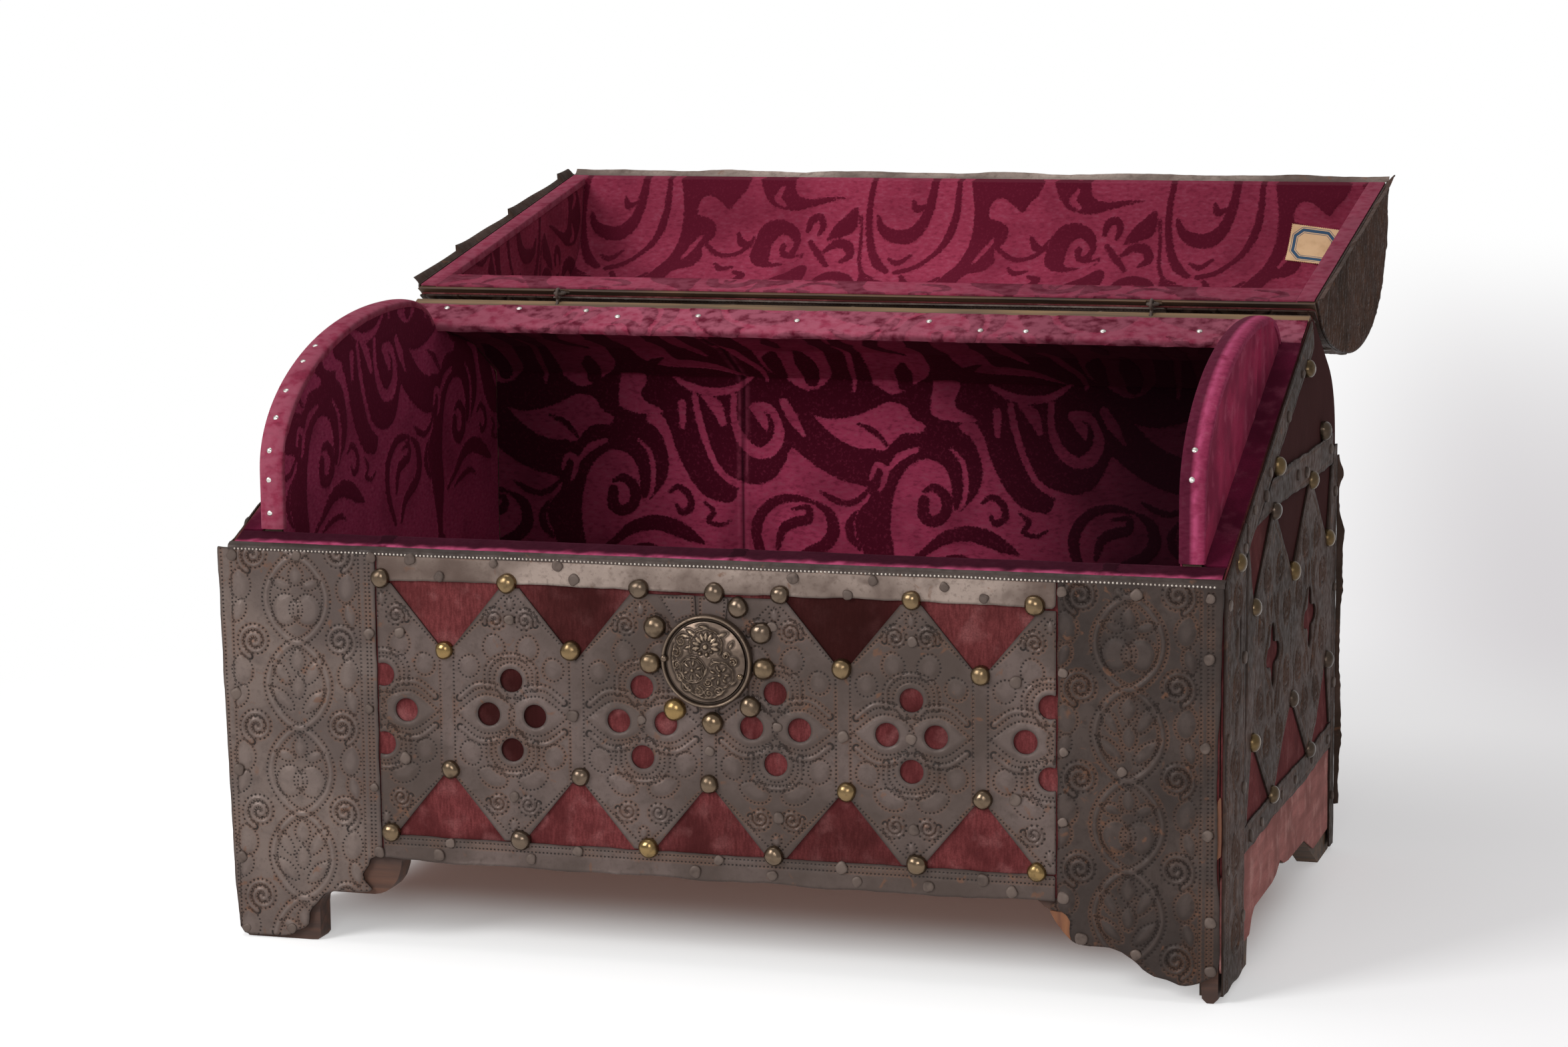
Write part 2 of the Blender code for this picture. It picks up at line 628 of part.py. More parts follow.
def add_front_iron(coffer):
    """Front: embossed corner strips, a band at the top and the bottom, and the pierced lozenges between."""
    top = seam_height(0.0, -2 * SEAM_FACE)
    edge = front_bracket()
    toe = from_height(edge, IRON_LIFT)
    k = int(np.flatnonzero(toe[:, 0] > CORNER_STRIP)[0])
    share = (CORNER_STRIP - toe[k - 1, 0]) / (toe[k, 0] - toe[k - 1, 0])
    corner = toe[k - 1] + share * (toe[k] - toe[k - 1])
    strip = np.vstack([[(0.0, IRON_LIFT)], toe[:k], [corner, (CORNER_STRIP, top), (0.0, top)]])
    place("front_corner_strip_left", prism(strip, IRON, "xz"), "iron", coffer, (0, 0, 0))
    mirrored = strip * (-1, 1)
    place("front_corner_strip_right", prism(mirrored, IRON, "xz"), "iron", coffer, (WIDTH, 0, 0))

    first, last = CORNER_STRIP + GAP, WIDTH - CORNER_STRIP - GAP
    bands = (
        ("front_top_band", top - FRONT_TOP_BAND, FRONT_TOP_BAND),
        ("front_bottom_band", SKIRT_HEIGHT, FRONT_BOTTOM_BAND),
    )
    for name, low, height in bands:
        outline = [(first, 0.0), (last, 0.0), (last, height), (first, height)]
        place(name, prism(outline, IRON, "xz"), "iron", coffer, (0, 0, low))

    low, high = SKIRT_HEIGHT + FRONT_BOTTOM_BAND + GAP, top - FRONT_TOP_BAND - GAP
    plate = [(first, low), (last, low), (last, high), (first, high)]
    sheet = place("front_lozenge_sheet", prism(plate, IRON, "xz"), "iron", coffer, (0, 0, 0))
    columns = int((last - first) / LOZENGE_PITCH + 0.5)
    cuts = []
    for centre, upper, outline in lozenges(first, last, low, high, LOZENGE_PITCH, LOZENGE_POINT, columns):
        # The boss and its patch of iron cover the middle one at the top.
        if not (upper and abs(centre - WIDTH / 2) < BOSS_RADIUS):
            cuts.append(outline)
    for k in range(columns - 1):
        centre = WIDTH / 2 + (k - (columns - 2) / 2) * LOZENGE_PITCH
        cuts.extend(holes(centre, (low + high) / 2))
    pierce(sheet, cuts, IRON, "xz", coffer, (0, -IRON, 0))


def add_end_iron(coffer):
    """Ends: a strip at the front edge, one along the seam, two bands and the pierced lozenges between."""
    layer = (0.0, IRON)
    edge = IRON + GAP
    strip = [
        (edge, IRON_LIFT),
        (END_FRONT_STRIP, IRON_LIFT),
        (END_FRONT_STRIP, seam_height(END_FRONT_STRIP, -SEAM_FACE)),
        (edge, seam_height(edge, -SEAM_FACE)),
    ]
    both("end_front_strip", strip, layer, "iron", coffer)

    first, last = END_FRONT_STRIP + GAP, DEPTH - BACK_STRIP - GAP
    deep = SEAM_FACE + EDGE_STRIP
    diagonal = [
        (first, seam_height(first, -deep)),
        seam(HINGE_CLEAR, -deep),
        seam(HINGE_CLEAR, -SEAM_FACE),
        (first, seam_height(first, -SEAM_FACE)),
    ]
    both("end_diagonal_strip", diagonal, layer, "iron", coffer)

    low = UPPER_BAND_HEIGHT
    high = low + UPPER_BAND
    under = deep + GAP
    upper = [(first, low), (last, low), (last, high), (first, high)]
    for strip in both("end_upper_band", upper, layer, "iron", coffer).values():
        cut_above_seam(strip, coffer, under)
    low = LOWER_BAND_HEIGHT
    high = low + LOWER_BAND
    both("end_lower_band", [(first, low), (last, low), (last, high), (first, high)], layer, "iron", coffer)

    low, high = LOWER_BAND_HEIGHT + LOWER_BAND + GAP, UPPER_BAND_HEIGHT - GAP
    plate = [(first, low), (last, low), (last, high), (first, high)]
    columns = int((last - first - 2 * LOZENGE_MARGIN) / END_LOZENGE_PITCH)
    triangles = lozenges(first, last, low, high, END_LOZENGE_PITCH, END_LOZENGE_POINT, columns + 1)
    cuts = [outline for _, _, outline in triangles]
    for k in range(columns):
        centre = (first + last) / 2 + (k - (columns - 1) / 2) * END_LOZENGE_PITCH
        cuts.append(cross(centre, (low + high) / 2))
    sheets = both("end_lozenge_sheet", plate, layer, "iron", coffer)
    for side, sheet in sheets.items():
        cut_above_seam(sheet, coffer, under)
        pierce(sheet, cuts, IRON, "yz", coffer, (end_layer(side, layer) - IRON, 0, 0))


def add_back_iron(coffer):
    """Back: strips folded round the two corners, two bands across, and one under the hinges."""
    rear = DEPTH
    fold = [
        (0.0, rear - BACK_STRIP),
        (IRON, rear - BACK_STRIP),
        (IRON, rear - IRON),
        (BACK_STRIP_RETURN, rear - IRON),
        (BACK_STRIP_RETURN, rear),
        (0.0, rear),
    ]
    height = BACK_SPRING - IRON_LIFT
    place("back_corner_strip_left", prism(fold, height, "xy"), "iron", coffer, (0, 0, IRON_LIFT))
    mirrored = np.array(fold) * (-1, 1)
    place("back_corner_strip_right", prism(mirrored, height, "xy"), "iron", coffer, (WIDTH, 0, IRON_LIFT))

    first = BACK_STRIP_RETURN + GAP
    length = WIDTH - 2 * first
    for name, low, tall in (
        ("back_upper_band", BACK_SPRING - UPPER_BAND, UPPER_BAND),
        ("back_lower_band", LOWER_BAND_HEIGHT, LOWER_BAND),
    ):
        outline = [(rear - IRON, low), (rear, low), (rear, low + tall), (rear - IRON, low + tall)]
        place(name, prism(outline, length, "yz"), "iron", coffer, (first, 0, 0))
    line = along_slope(HINGE_CLEAR)[-1:] + np.outer(
        (EDGE_STRIP, 0.0), (math.cos(SLOPE_ANGLE), -math.sin(SLOPE_ANGLE))
    )
    outline = band(line, -GAP - VELVET - GAP, -SKIN)
    place("slope_edge_band", prism(outline, WIDTH - 2 * SKIN, "yz"), "iron", coffer, (SKIN, 0, 0))


def add_boss(coffer):
    """Round boss nailed over the middle of the front: a dish with a rolled rim, and a domed medallion."""
    rim = BOSS_RIM - BOSS_DISH
    turn = np.linspace(0.0, math.pi, BEND_STEPS)
    roll = [(BOSS_RADIUS - rim + rim * math.cos(a), BOSS_DISH + rim * math.sin(a)) for a in turn]
    dish = [(0.0, 0.0), (BOSS_RADIUS, 0.0), *roll, (0.0, BOSS_DISH)]
    mesh = lathe(dish)
    smooth(mesh)
    place("boss_dish", mesh, "bronze", coffer, (WIDTH / 2, -GAP, BOSS_HEIGHT))
    foot = BOSS_DISH + GAP
    dome = [(MEDALLION_RADIUS * math.cos(a), foot + MEDALLION_RISE * math.sin(a)) for a in QUARTER]
    mesh = lathe([(0.0, foot), *dome[:-1], (0.0, foot + MEDALLION_RISE)])
    smooth(mesh)
    place("boss_medallion", mesh, "bronze", coffer, (WIDTH / 2, -GAP, BOSS_HEIGHT))


def add_lid_boards(lid, drop):
    """Lid: a bent shell over two end boards, with a thick batten at the hinge edge."""
    outer = clip_to_seam(lid_outside(), LINED_FACE)
    inner = clip_to_seam(offset(lid_outside(), -LID_BOARD), LINED_FACE)
    shell = np.vstack([outer, inner[::-1]])
    span = IRON + GAP
    width = WIDTH - 2 * span
    at = (span, -drop[0], -drop[1])
    board = place("lid_shell", prism(shell, width, "yz"), "wood", lid, at)

    under = clip_to_seam(offset(lid_outside(), -LID_BOARD - GAP), LINED_FACE)
    cover = clip_to_seam(offset(tongue_arch(), lining_offset() + LINING_DEPTH), LINED_FACE)
    batten = rear_batten(under, cover)
    first = span + LID_END_BOARD + GAP + LINING + GAP
    at = (first, -drop[0], -drop[1])
    block = place("lid_hinge_batten", prism(batten, WIDTH - 2 * first, "yz"), "wood", lid, at)
    both("lid_end", under, (span, LID_END_BOARD), "wood", lid, drop)
    return board, block


def lining_offset():
    """Distance from a tongue's edge to the lid's lining, when shut."""
    return LINING_DEPTH + LID_CLEARANCE


def rear_batten(under, cover):
    """Wedge between the shell and the lining behind the crown, standing on the seam."""
    shell = under[under[:, 0] > CROWN_DEPTH]
    lined = cover[cover[:, 0] > CROWN_DEPTH]
    gap = np.interp(lined[:, 0], shell[:, 0], shell[:, 1]) - lined[:, 1]
    k = int(np.flatnonzero(gap > BATTEN_EDGE)[0])
    share = (BATTEN_EDGE - gap[k - 1]) / (gap[k] - gap[k - 1])
    edge = lined[k - 1] + share * (lined[k] - lined[k - 1])
    return np.vstack([edge + (0.0, BATTEN_EDGE), shell[shell[:, 0] > edge[0] + GAP], lined[k:][::-1], edge])


def add_lid_lining(lid, drop):
    """Lining of the lid: the vault with both long rims, and the ends with theirs."""
    face = clip_to_seam(offset(tongue_arch(), lining_offset() + LINING), SEAM_FACE + LINING)
    rim = SEAM_FACE + LINING
    front_rim = clip_to_seam(lid_outside(), rim)[0]
    rear_rim = np.array(seam(HINGE_CLEAR, rim))
    line = np.vstack([front_rim, face, rear_rim])
    outline = band(line, 0.0, -LINING)
    first = IRON + GAP + LID_END_BOARD + GAP + LINING + GAP
    at = (first, -drop[0], -drop[1])
    place("lid_lining", prism(outline, WIDTH - 2 * first, "yz"), "lining", lid, at)

    # The end's face stands half way into the strip along its rim, and the strip half way into the face.
    half = LINING / 2
    inside = clip_to_seam(offset(lid_outside(), -LID_BOARD - GAP), SEAM_FACE + half)
    layer = (IRON + GAP + LID_END_BOARD + GAP, LINING)
    front_foot = clip_to_seam(lid_outside(), SEAM_FACE)[0]
    fold = np.vstack([front_foot, seam(HINGE_CLEAR, SEAM_FACE), rear_rim, front_rim])
    span = (IRON + GAP, LID_END_BOARD + GAP + half)
    for side, sheet in both("lid_end_lining", inside, layer, "lining", lid, drop).items():
        strip = helper(prism(fold, span[1], "yz"), lid, (end_layer(side, span), -drop[0], -drop[1]))
        combine(sheet, strip, "UNION")


def lid_cover():
    """Outer face of the lid's boards from the front rim to short of the hinge."""
    line = clip_to_seam(lid_outside(), SEAM_FACE)
    back = np.array([-math.cos(LID_REAR_ANGLE), math.sin(LID_REAR_ANGLE)])
    keep = line[line[:, 0] < HINGE_DEPTH - HINGE_CLEAR]
    return np.vstack([keep, np.array([HINGE_DEPTH, HINGE_HEIGHT]) + HINGE_CLEAR * back])


def stretch_of(line, start, end):
    """Part of a polyline between two lengths measured along it."""
    steps = np.linalg.norm(np.diff(line, axis=0), axis=1)
    at = np.concatenate([[0.0], np.cumsum(steps)])
    keep = at[(at > start + GAP) & (at < end - GAP)]
    marks = np.concatenate([[start], keep, [end]])
    return np.stack([np.interp(marks, at, line[:, k]) for k in (0, 1)], 1)


def length_of(line):
    return float(np.linalg.norm(np.diff(line, axis=0), axis=1).sum())


def add_lid_skins(lid, drop):
    """Outside of the lid: velvet, corner strips, edge bands, a pierced sheet over the vault, and the ends."""
    line = lid_cover()
    low = GAP + VELVET + GAP
    inset = IRON + GAP
    at = (inset, -drop[0], -drop[1])
    place("lid_velvet", prism(band(line, GAP, GAP + VELVET), WIDTH - 2 * inset, "yz"), "velvet", lid, at)
    for side in ("left", "right"):
        x = end_layer(side, (inset, CORNER_STRIP - inset))
        mesh = prism(band(line, low, SKIN), CORNER_STRIP - inset, "yz")
        place(f"lid_strip_{side}", mesh, "iron", lid, (x, -drop[0], -drop[1]))
    first = CORNER_STRIP + GAP
    width = WIDTH - 2 * first
    total = length_of(line)
    for name, start, end in (
        ("lid_front_band", 0.0, LID_EDGE_BAND),
        ("lid_rear_band", total - LID_EDGE_BAND, total),
    ):
        mesh = prism(band(stretch_of(line, start, end), low, SKIN), width, "yz")
        place(name, mesh, "iron", lid, (first, -drop[0], -drop[1]))
    mesh = bent_lozenges(line, LID_EDGE_BAND + GAP, total - LID_EDGE_BAND - GAP, width, low)
    place("lid_lozenge_sheet", mesh, "iron", lid, (first, -drop[0], -drop[1]))

    edge = offset(lid_outside(), SKIN)
    outline = clip_to_seam(edge, SEAM_FACE)
    outline = outline[outline[:, 0] < HINGE_DEPTH - HINGE_CLEAR]
    outline = np.vstack([outline, seam(HINGE_CLEAR, SKIN), seam(HINGE_CLEAR, SEAM_FACE)])
    both("lid_end_sheet", outline, (0.0, IRON), "iron", lid, drop)


def bent_lozenges(line, start, end, width, low):
    """Flat pierced sheet, cut across into narrow strips and bent over the vault along the curve."""
    plate = [(0.0, start), (width, start), (width, end), (0.0, end)]
    frame = empty("flat_sheet", (0, 0, 0))
    flat = place("flat_sheet", prism(plate, IRON, "xy"), "iron", frame, (0, 0, 0))
    flat.hide_render = True
    columns = int(width / LOZENGE_PITCH + 0.5)
    triangles = lozenges(0.0, width, start, end, LOZENGE_PITCH, LOZENGE_POINT, columns)
    cuts = [outline for _, _, outline in triangles]
    for k in range(columns - 1):
        centre = width / 2 + (k - (columns - 2) / 2) * LOZENGE_PITCH
        cuts.extend(holes(centre, (start + end) / 2))
    pierce(flat, cuts, IRON, "xy", frame, (0, 0, -IRON))
    bpy.context.view_layer.update()
    graph = bpy.context.evaluated_depsgraph_get()
    bm = bmesh.new()
    bm.from_object(flat, graph)
    steps = np.linalg.norm(np.diff(line, axis=0), axis=1)
    marks = np.concatenate([[0.0], np.cumsum(steps)])
    for mark in marks[(marks > start + GAP) & (marks < end - GAP)]:
        geometry = bm.verts[:] + bm.edges[:] + bm.faces[:]
        bmesh.ops.bisect_plane(bm, geom=geometry, dist=1e-6, plane_co=(0, mark, 0), plane_no=(0, 1, 0))
    inside, outside = offset(line, low), offset(line, SKIN)
    for vertex in bm.verts:
        x, along, height = vertex.co
        face = outside if height > IRON / 2 else inside
        vertex.co = (x, np.interp(along, marks, face[:, 0]), np.interp(along, marks, face[:, 1]))
    for thing in list(frame.children) + [frame]:
        bpy.data.objects.remove(thing)
    return to_mesh(bm)


def pin_axes(pin_angle):
    """Directions along a pin and square to it, in space, and the third direction across the hinge."""
    along = np.array([0.0, math.cos(pin_angle), math.sin(pin_angle)])
    square = np.array([0.0, -math.sin(pin_angle), math.cos(pin_angle)])
    return along, square, np.array([1.0, 0.0, 0.0])


def eye(upright, pin_angle, centre):
    """Ring of wire with its middle on the pin's line: square to the hinge axis if upright, else along it."""
    along, square, across = pin_axes(pin_angle)
    second, normal = (square, across) if upright else (across, square)
    bm = bmesh.new()
    turn = np.linspace(0.0, math.tau, EYE_TURNS, endpoint=False)
    wire = np.linspace(0.0, math.tau, WIRE_SIDES, endpoint=False)
    grid = []
    for a in turn:
        outward = math.cos(a) * along + math.sin(a) * second
        middle = centre * along + EYE_RADIUS * outward
        loop = [middle + EYE_WIRE * (math.cos(b) * outward + math.sin(b) * normal) for b in wire]
        grid.append([bm.verts.new(point) for point in loop])
    for i in range(EYE_TURNS):
        for j in range(WIRE_SIDES):
            k, m = (i + 1) % EYE_TURNS, (j + 1) % WIRE_SIDES
            bm.faces.new((grid[i][j], grid[k][j], grid[k][m], grid[i][m]))
    return to_mesh(bm)


def pin(pin_angle, start, end, radius):
    """Round pin in the yz plane, from one distance to another from the hinge axis."""
    along, square, across = pin_axes(pin_angle)
    turn = np.linspace(0.0, math.tau, WIRE_SIDES, endpoint=False)
    bm = bmesh.new()
    loops = []
    for distance in (start, end):
        rim = [distance * along + radius * (math.cos(t) * across + math.sin(t) * square) for t in turn]
        loops.append([bm.verts.new(point) for point in rim])
    bm.faces.new(loops[0])
    bm.faces.new(loops[1])
    for k in range(WIRE_SIDES):
        n = (k + 1) % WIRE_SIDES
        bm.faces.new((loops[0][k], loops[0][n], loops[1][n], loops[1][k]))
    return to_mesh(bm)


def drum(radius, length):
    """Round pocket about the hinge axis."""
    turn = np.linspace(0.0, math.tau, POCKET_SIDES, endpoint=False)
    return prism(np.stack([radius * np.cos(turn), radius * np.sin(turn)], 1), length, "yz")


def add_hinges(coffer, lid, boards, lid_boards):
    """Two snipe hinges: an eye driven into the rail, linked through an eye driven into the lid."""
    ring = EYE_RADIUS + EYE_WIRE
    for side, sign in (("left", -1), ("right", 1)):
        x = WIDTH / 2 + sign * HINGE_SPREAD
        axis = (x, AXIS_DEPTH, AXIS_HEIGHT)
        fixed = place(f"hinge_eye_body_{side}", eye(True, BODY_PIN_ANGLE, 0.0), "iron", coffer, axis)
        stem = pin(BODY_PIN_ANGLE, EYE_RADIUS, EYE_PIN, EYE_WIRE)
        combine(fixed, helper(stem, coffer, axis), "UNION")
        smooth(fixed.data)
        half = EYE_WIRE + EYE_CLEAR
        pocket = helper(drum(ring + EYE_CLEAR, 2 * half), coffer, (x - half, *axis[1:]))
        bore = helper(pin(BODY_PIN_ANGLE, 0.0, EYE_PIN + GAP, EYE_WIRE + GAP), coffer, axis)
        for board in boards:
            combine(board, pocket, "DIFFERENCE")
            combine(board, bore, "DIFFERENCE")

        ring_mesh = eye(False, LID_PIN_ANGLE, EYE_RADIUS)
        swung = place(f"hinge_eye_lid_{side}", ring_mesh, "iron", lid, (x, 0, 0))
        far = 2 * EYE_RADIUS
        stem = pin(LID_PIN_ANGLE, far, far + EYE_PIN, EYE_WIRE)
        combine(swung, helper(stem, lid, (x, 0, 0)), "UNION")
        smooth(swung.data)
        half = ring + EYE_CLEAR
        pocket = helper(drum(far + EYE_WIRE + EYE_CLEAR, 2 * half), lid, (x - half, 0, 0))
        bore = helper(pin(LID_PIN_ANGLE, 0.0, far + EYE_PIN + GAP, EYE_WIRE + GAP), lid, (x, 0, 0))
        for board in lid_boards:
            combine(board, pocket, "DIFFERENCE")
            combine(board, bore, "DIFFERENCE")


def centre_on_floor(coffer):
    """Puts the middle of the whole footprint, with the lid laid open, on the origin."""
    bpy.context.view_layer.update()
    low, high = np.full(3, np.inf), np.full(3, -np.inf)
    for thing in coffer.children_recursive:
        if thing.type == "MESH" and not thing.hide_render:
            points = np.empty(3 * len(thing.data.vertices))
            thing.data.vertices.foreach_get("co", points)
            matrix = np.array(thing.matrix_world)
            world = points.reshape(-1, 3) @ matrix[:3, :3].T + matrix[:3, 3]
            low, high = np.minimum(low, world.min(0)), np.maximum(high, world.max(0))
    middle = (low + high) / 2
    coffer.location = (-middle[0], -middle[1], -low[2])


def main():
    for thing in list(bpy.data.objects):
        bpy.data.objects.remove(thing)
    coffer = empty("coffer", (0, 0, 0))
    lid = empty("lid_hinge", (0, AXIS_DEPTH, AXIS_HEIGHT), coffer)
    drop = (AXIS_DEPTH, AXIS_HEIGHT)
    add_boards(coffer)
    boards = add_slope(coffer)
    add_velvet(coffer)
    add_lining(coffer)
    add_tongue_lining(coffer)
    add_front_iron(coffer)
    add_end_iron(coffer)
    add_back_iron(coffer)
    add_boss(coffer)
    lid_boards = add_lid_boards(lid, drop)
    add_lid_lining(lid, drop)
    add_lid_skins(lid, drop)
    add_hinges(coffer, lid, boards, lid_boards)
    lid.rotation_euler = (-OPEN_ANGLE, 0.0, 0.0)
    centre_on_floor(coffer)


main()
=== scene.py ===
import math

import bpy
import numpy as np
from mathutils import Matrix, Vector
from mathutils.geometry import delaunay_2d_cdt


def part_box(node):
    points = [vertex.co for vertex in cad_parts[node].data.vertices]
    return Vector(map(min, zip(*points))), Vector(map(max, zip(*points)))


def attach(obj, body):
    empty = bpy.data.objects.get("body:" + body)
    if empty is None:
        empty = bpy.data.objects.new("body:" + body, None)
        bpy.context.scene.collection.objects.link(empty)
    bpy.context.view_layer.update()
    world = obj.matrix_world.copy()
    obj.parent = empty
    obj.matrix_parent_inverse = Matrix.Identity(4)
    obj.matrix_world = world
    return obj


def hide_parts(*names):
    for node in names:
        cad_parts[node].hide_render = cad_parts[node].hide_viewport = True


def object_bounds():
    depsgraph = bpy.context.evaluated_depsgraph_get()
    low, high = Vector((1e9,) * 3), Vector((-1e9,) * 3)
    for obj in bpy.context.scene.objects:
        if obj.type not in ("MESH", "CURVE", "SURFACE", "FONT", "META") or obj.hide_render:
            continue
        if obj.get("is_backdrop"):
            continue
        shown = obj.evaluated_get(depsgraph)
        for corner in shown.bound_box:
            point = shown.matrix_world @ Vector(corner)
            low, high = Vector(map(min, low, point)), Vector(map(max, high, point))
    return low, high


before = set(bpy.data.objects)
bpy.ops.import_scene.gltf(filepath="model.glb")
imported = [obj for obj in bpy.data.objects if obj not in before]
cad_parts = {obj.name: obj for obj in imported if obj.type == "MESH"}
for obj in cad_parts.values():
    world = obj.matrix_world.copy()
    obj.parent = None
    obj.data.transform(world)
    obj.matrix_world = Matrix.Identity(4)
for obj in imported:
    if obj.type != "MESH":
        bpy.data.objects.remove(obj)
cadLow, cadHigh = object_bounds()
chance = np.random.default_rng(7)

# Lengths below are millimetres from the front left bottom corner: x right, y back, z up
milli = 0.001
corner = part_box("front_corner_strip_left")[0]
shift = np.array([corner.x, corner.y, 0.0])
coffer = dict(wide=480.0, deep=316.0, front=191.0, hingeDeep=236.0, hingeHigh=288.0, axisDeep=237.192,
    axisHigh=290.808, opened=192.0)
seamAngle = math.atan2(coffer["hingeHigh"] - coffer["front"], coffer["hingeDeep"])
hingeEdge = np.array([coffer["hingeDeep"], coffer["hingeHigh"]])
boardIn, ironThick = 2.4, 0.8  # the boards' depth inside the outer faces, and the iron sheets' thickness
boardBack, boardSpan = coffer["deep"] - boardIn, (boardIn, coffer["wide"] - boardIn)


def seamHeight(y):
    return coffer["front"] + y * math.tan(seamAngle)


def laidOpen(points):
    # shut lid turned about the hinge line: the same turn that the CAD lid is stored at
    p = np.array(points, float)
    c, s = math.cos(math.radians(coffer["opened"])), -math.sin(math.radians(coffer["opened"]))
    y, z = p[:, 1] - coffer["axisDeep"], p[:, 2] - coffer["axisHigh"]
    p[:, 1] = coffer["axisDeep"] + c * y - s * z
    p[:, 2] = coffer["axisHigh"] + s * y + c * z
    return p


def smooth(low, high, value):
    t = np.clip((value - low) / (high - low), 0.0, 1.0)
    return t * t * (3 - 2 * t)


def hills(a, b, size, seed, octaves=3):
    # gentle unevenness: a sum of sine waves in seeded directions, about -1 to 1
    draw = np.random.default_rng(seed)
    total = np.zeros(np.broadcast(a, b).shape)
    for k in range(octaves * 4):
        turn, phase = draw.uniform(0, 2 * math.pi, 2)
        wave = size / 2 ** (k // 4) * draw.uniform(0.7, 1.4)
        total += np.sin((a * math.cos(turn) + b * math.sin(turn)) * 2 * math.pi / wave
            + phase) / 2 ** (k // 4)
    return total / 4


def columns(*values):
    # numbers and arrays set side by side, one row for each point
    return np.stack(np.broadcast_arrays(*values), 1)


def runAlong(line):
    # length of a polyline up to each of its points
    return np.concatenate([[0.0], np.cumsum(np.linalg.norm(np.diff(line, axis=0), axis=1))])


def lineLength(line):
    return float(runAlong(line)[-1])


def loopArea(loop):
    around = np.roll(loop, -1, 0)
    return abs((loop[:, 0] * around[:, 1] - loop[:, 1] * around[:, 0]).sum()) / 2


# meshes


def makePiece(name, points, faces, body, material, marks=None, sharp=50.0, replaced=(), finish=None):
    # points in millimetres, faces as index arrays of one width each, marks as one number for each point
    mesh = bpy.data.meshes.new(name)
    loops = np.concatenate([f.ravel() for f in faces]).astype(np.int32)
    counts = np.concatenate([np.full(len(f), f.shape[1]) for f in faces]).astype(np.int32)
    mesh.vertices.add(len(points))
    mesh.vertices.foreach_set("co", (np.asarray(points) * milli + shift).ravel().astype(np.float32))
    mesh.loops.add(len(loops))
    mesh.loops.foreach_set("vertex_index", loops)
    mesh.polygons.add(len(counts))
    mesh.polygons.foreach_set("loop_start", np.concatenate([[0], np.cumsum(counts)[:-1]]).astype(np.int32))
    mesh.update(calc_edges=True)
    mesh.polygons.foreach_set("use_smooth", np.ones(len(counts), bool))
    for key, values in (marks or {}).items():
        mesh.attributes.new(key, "FLOAT", "POINT").data.foreach_set("value", np.asarray(values, np.float32))
    mesh.set_sharp_from_angle(angle=math.radians(sharp))
    mesh.materials.append(material)
    piece = bpy.data.objects.new(name, mesh)
    bpy.context.scene.collection.objects.link(piece)
    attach(piece, body)
    if replaced:
        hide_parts(*replaced)
    return piece


def distanceTo(points, line):
    # distance from each point to a polyline, and the length along it to the nearest place
    start, step = line[:-1], np.diff(line, axis=0)
    size = np.maximum((step ** 2).sum(1), 1e-9)
    run = np.concatenate([[0.0], np.cumsum(np.sqrt(size))])
    best, along = np.empty(len(points)), np.empty(len(points))
    for k in range(0, len(points), 6000):
        gap = points[k:k + 6000, None] - start
        share = np.clip((gap * step).sum(2) / size, 0, 1)
        square = ((gap - share[..., None] * step) ** 2).sum(2)
        near = square.argmin(1)
        rows = np.arange(len(near))
        best[k:k + 6000] = np.sqrt(square[rows, near])
        along[k:k + 6000] = run[near] + share[rows, near] * np.sqrt(size[near])
    return best, along


def within(points, loop):
    # even-odd rule: crossings of a ray to the right
    x, y = points[:, :1], points[:, 1:]
    a, b = loop, np.roll(loop, -1, 0)
    cross = (a[:, 1] > y) != (b[:, 1] > y)
    rise = np.where(b[:, 1] == a[:, 1], 1e-9, b[:, 1] - a[:, 1])
    return (cross & (x < a[:, 0] + (y - a[:, 1]) * (b[:, 0] - a[:, 0]) / rise)).sum(1) % 2 == 1


def edgeDepth(points, loop):
    # signed distance to a closed outline, negative inside
    far, _ = distanceTo(points, np.vstack([loop, loop[:1]]))
    return np.where(within(points, loop), -far, far)


def cutDepth(points, outline, openings, reach=6.0):
    # an outline less its openings: the larger of its own signed distance and minus that of each opening
    depth = edgeDepth(points, outline)
    for loop in openings:
        near = np.flatnonzero(((points > loop.min(0) - reach) & (points < loop.max(0) + reach)).all(1))
        if len(near):
            depth[near] = np.maximum(depth[near], -edgeDepth(points[near], loop))
    return depth


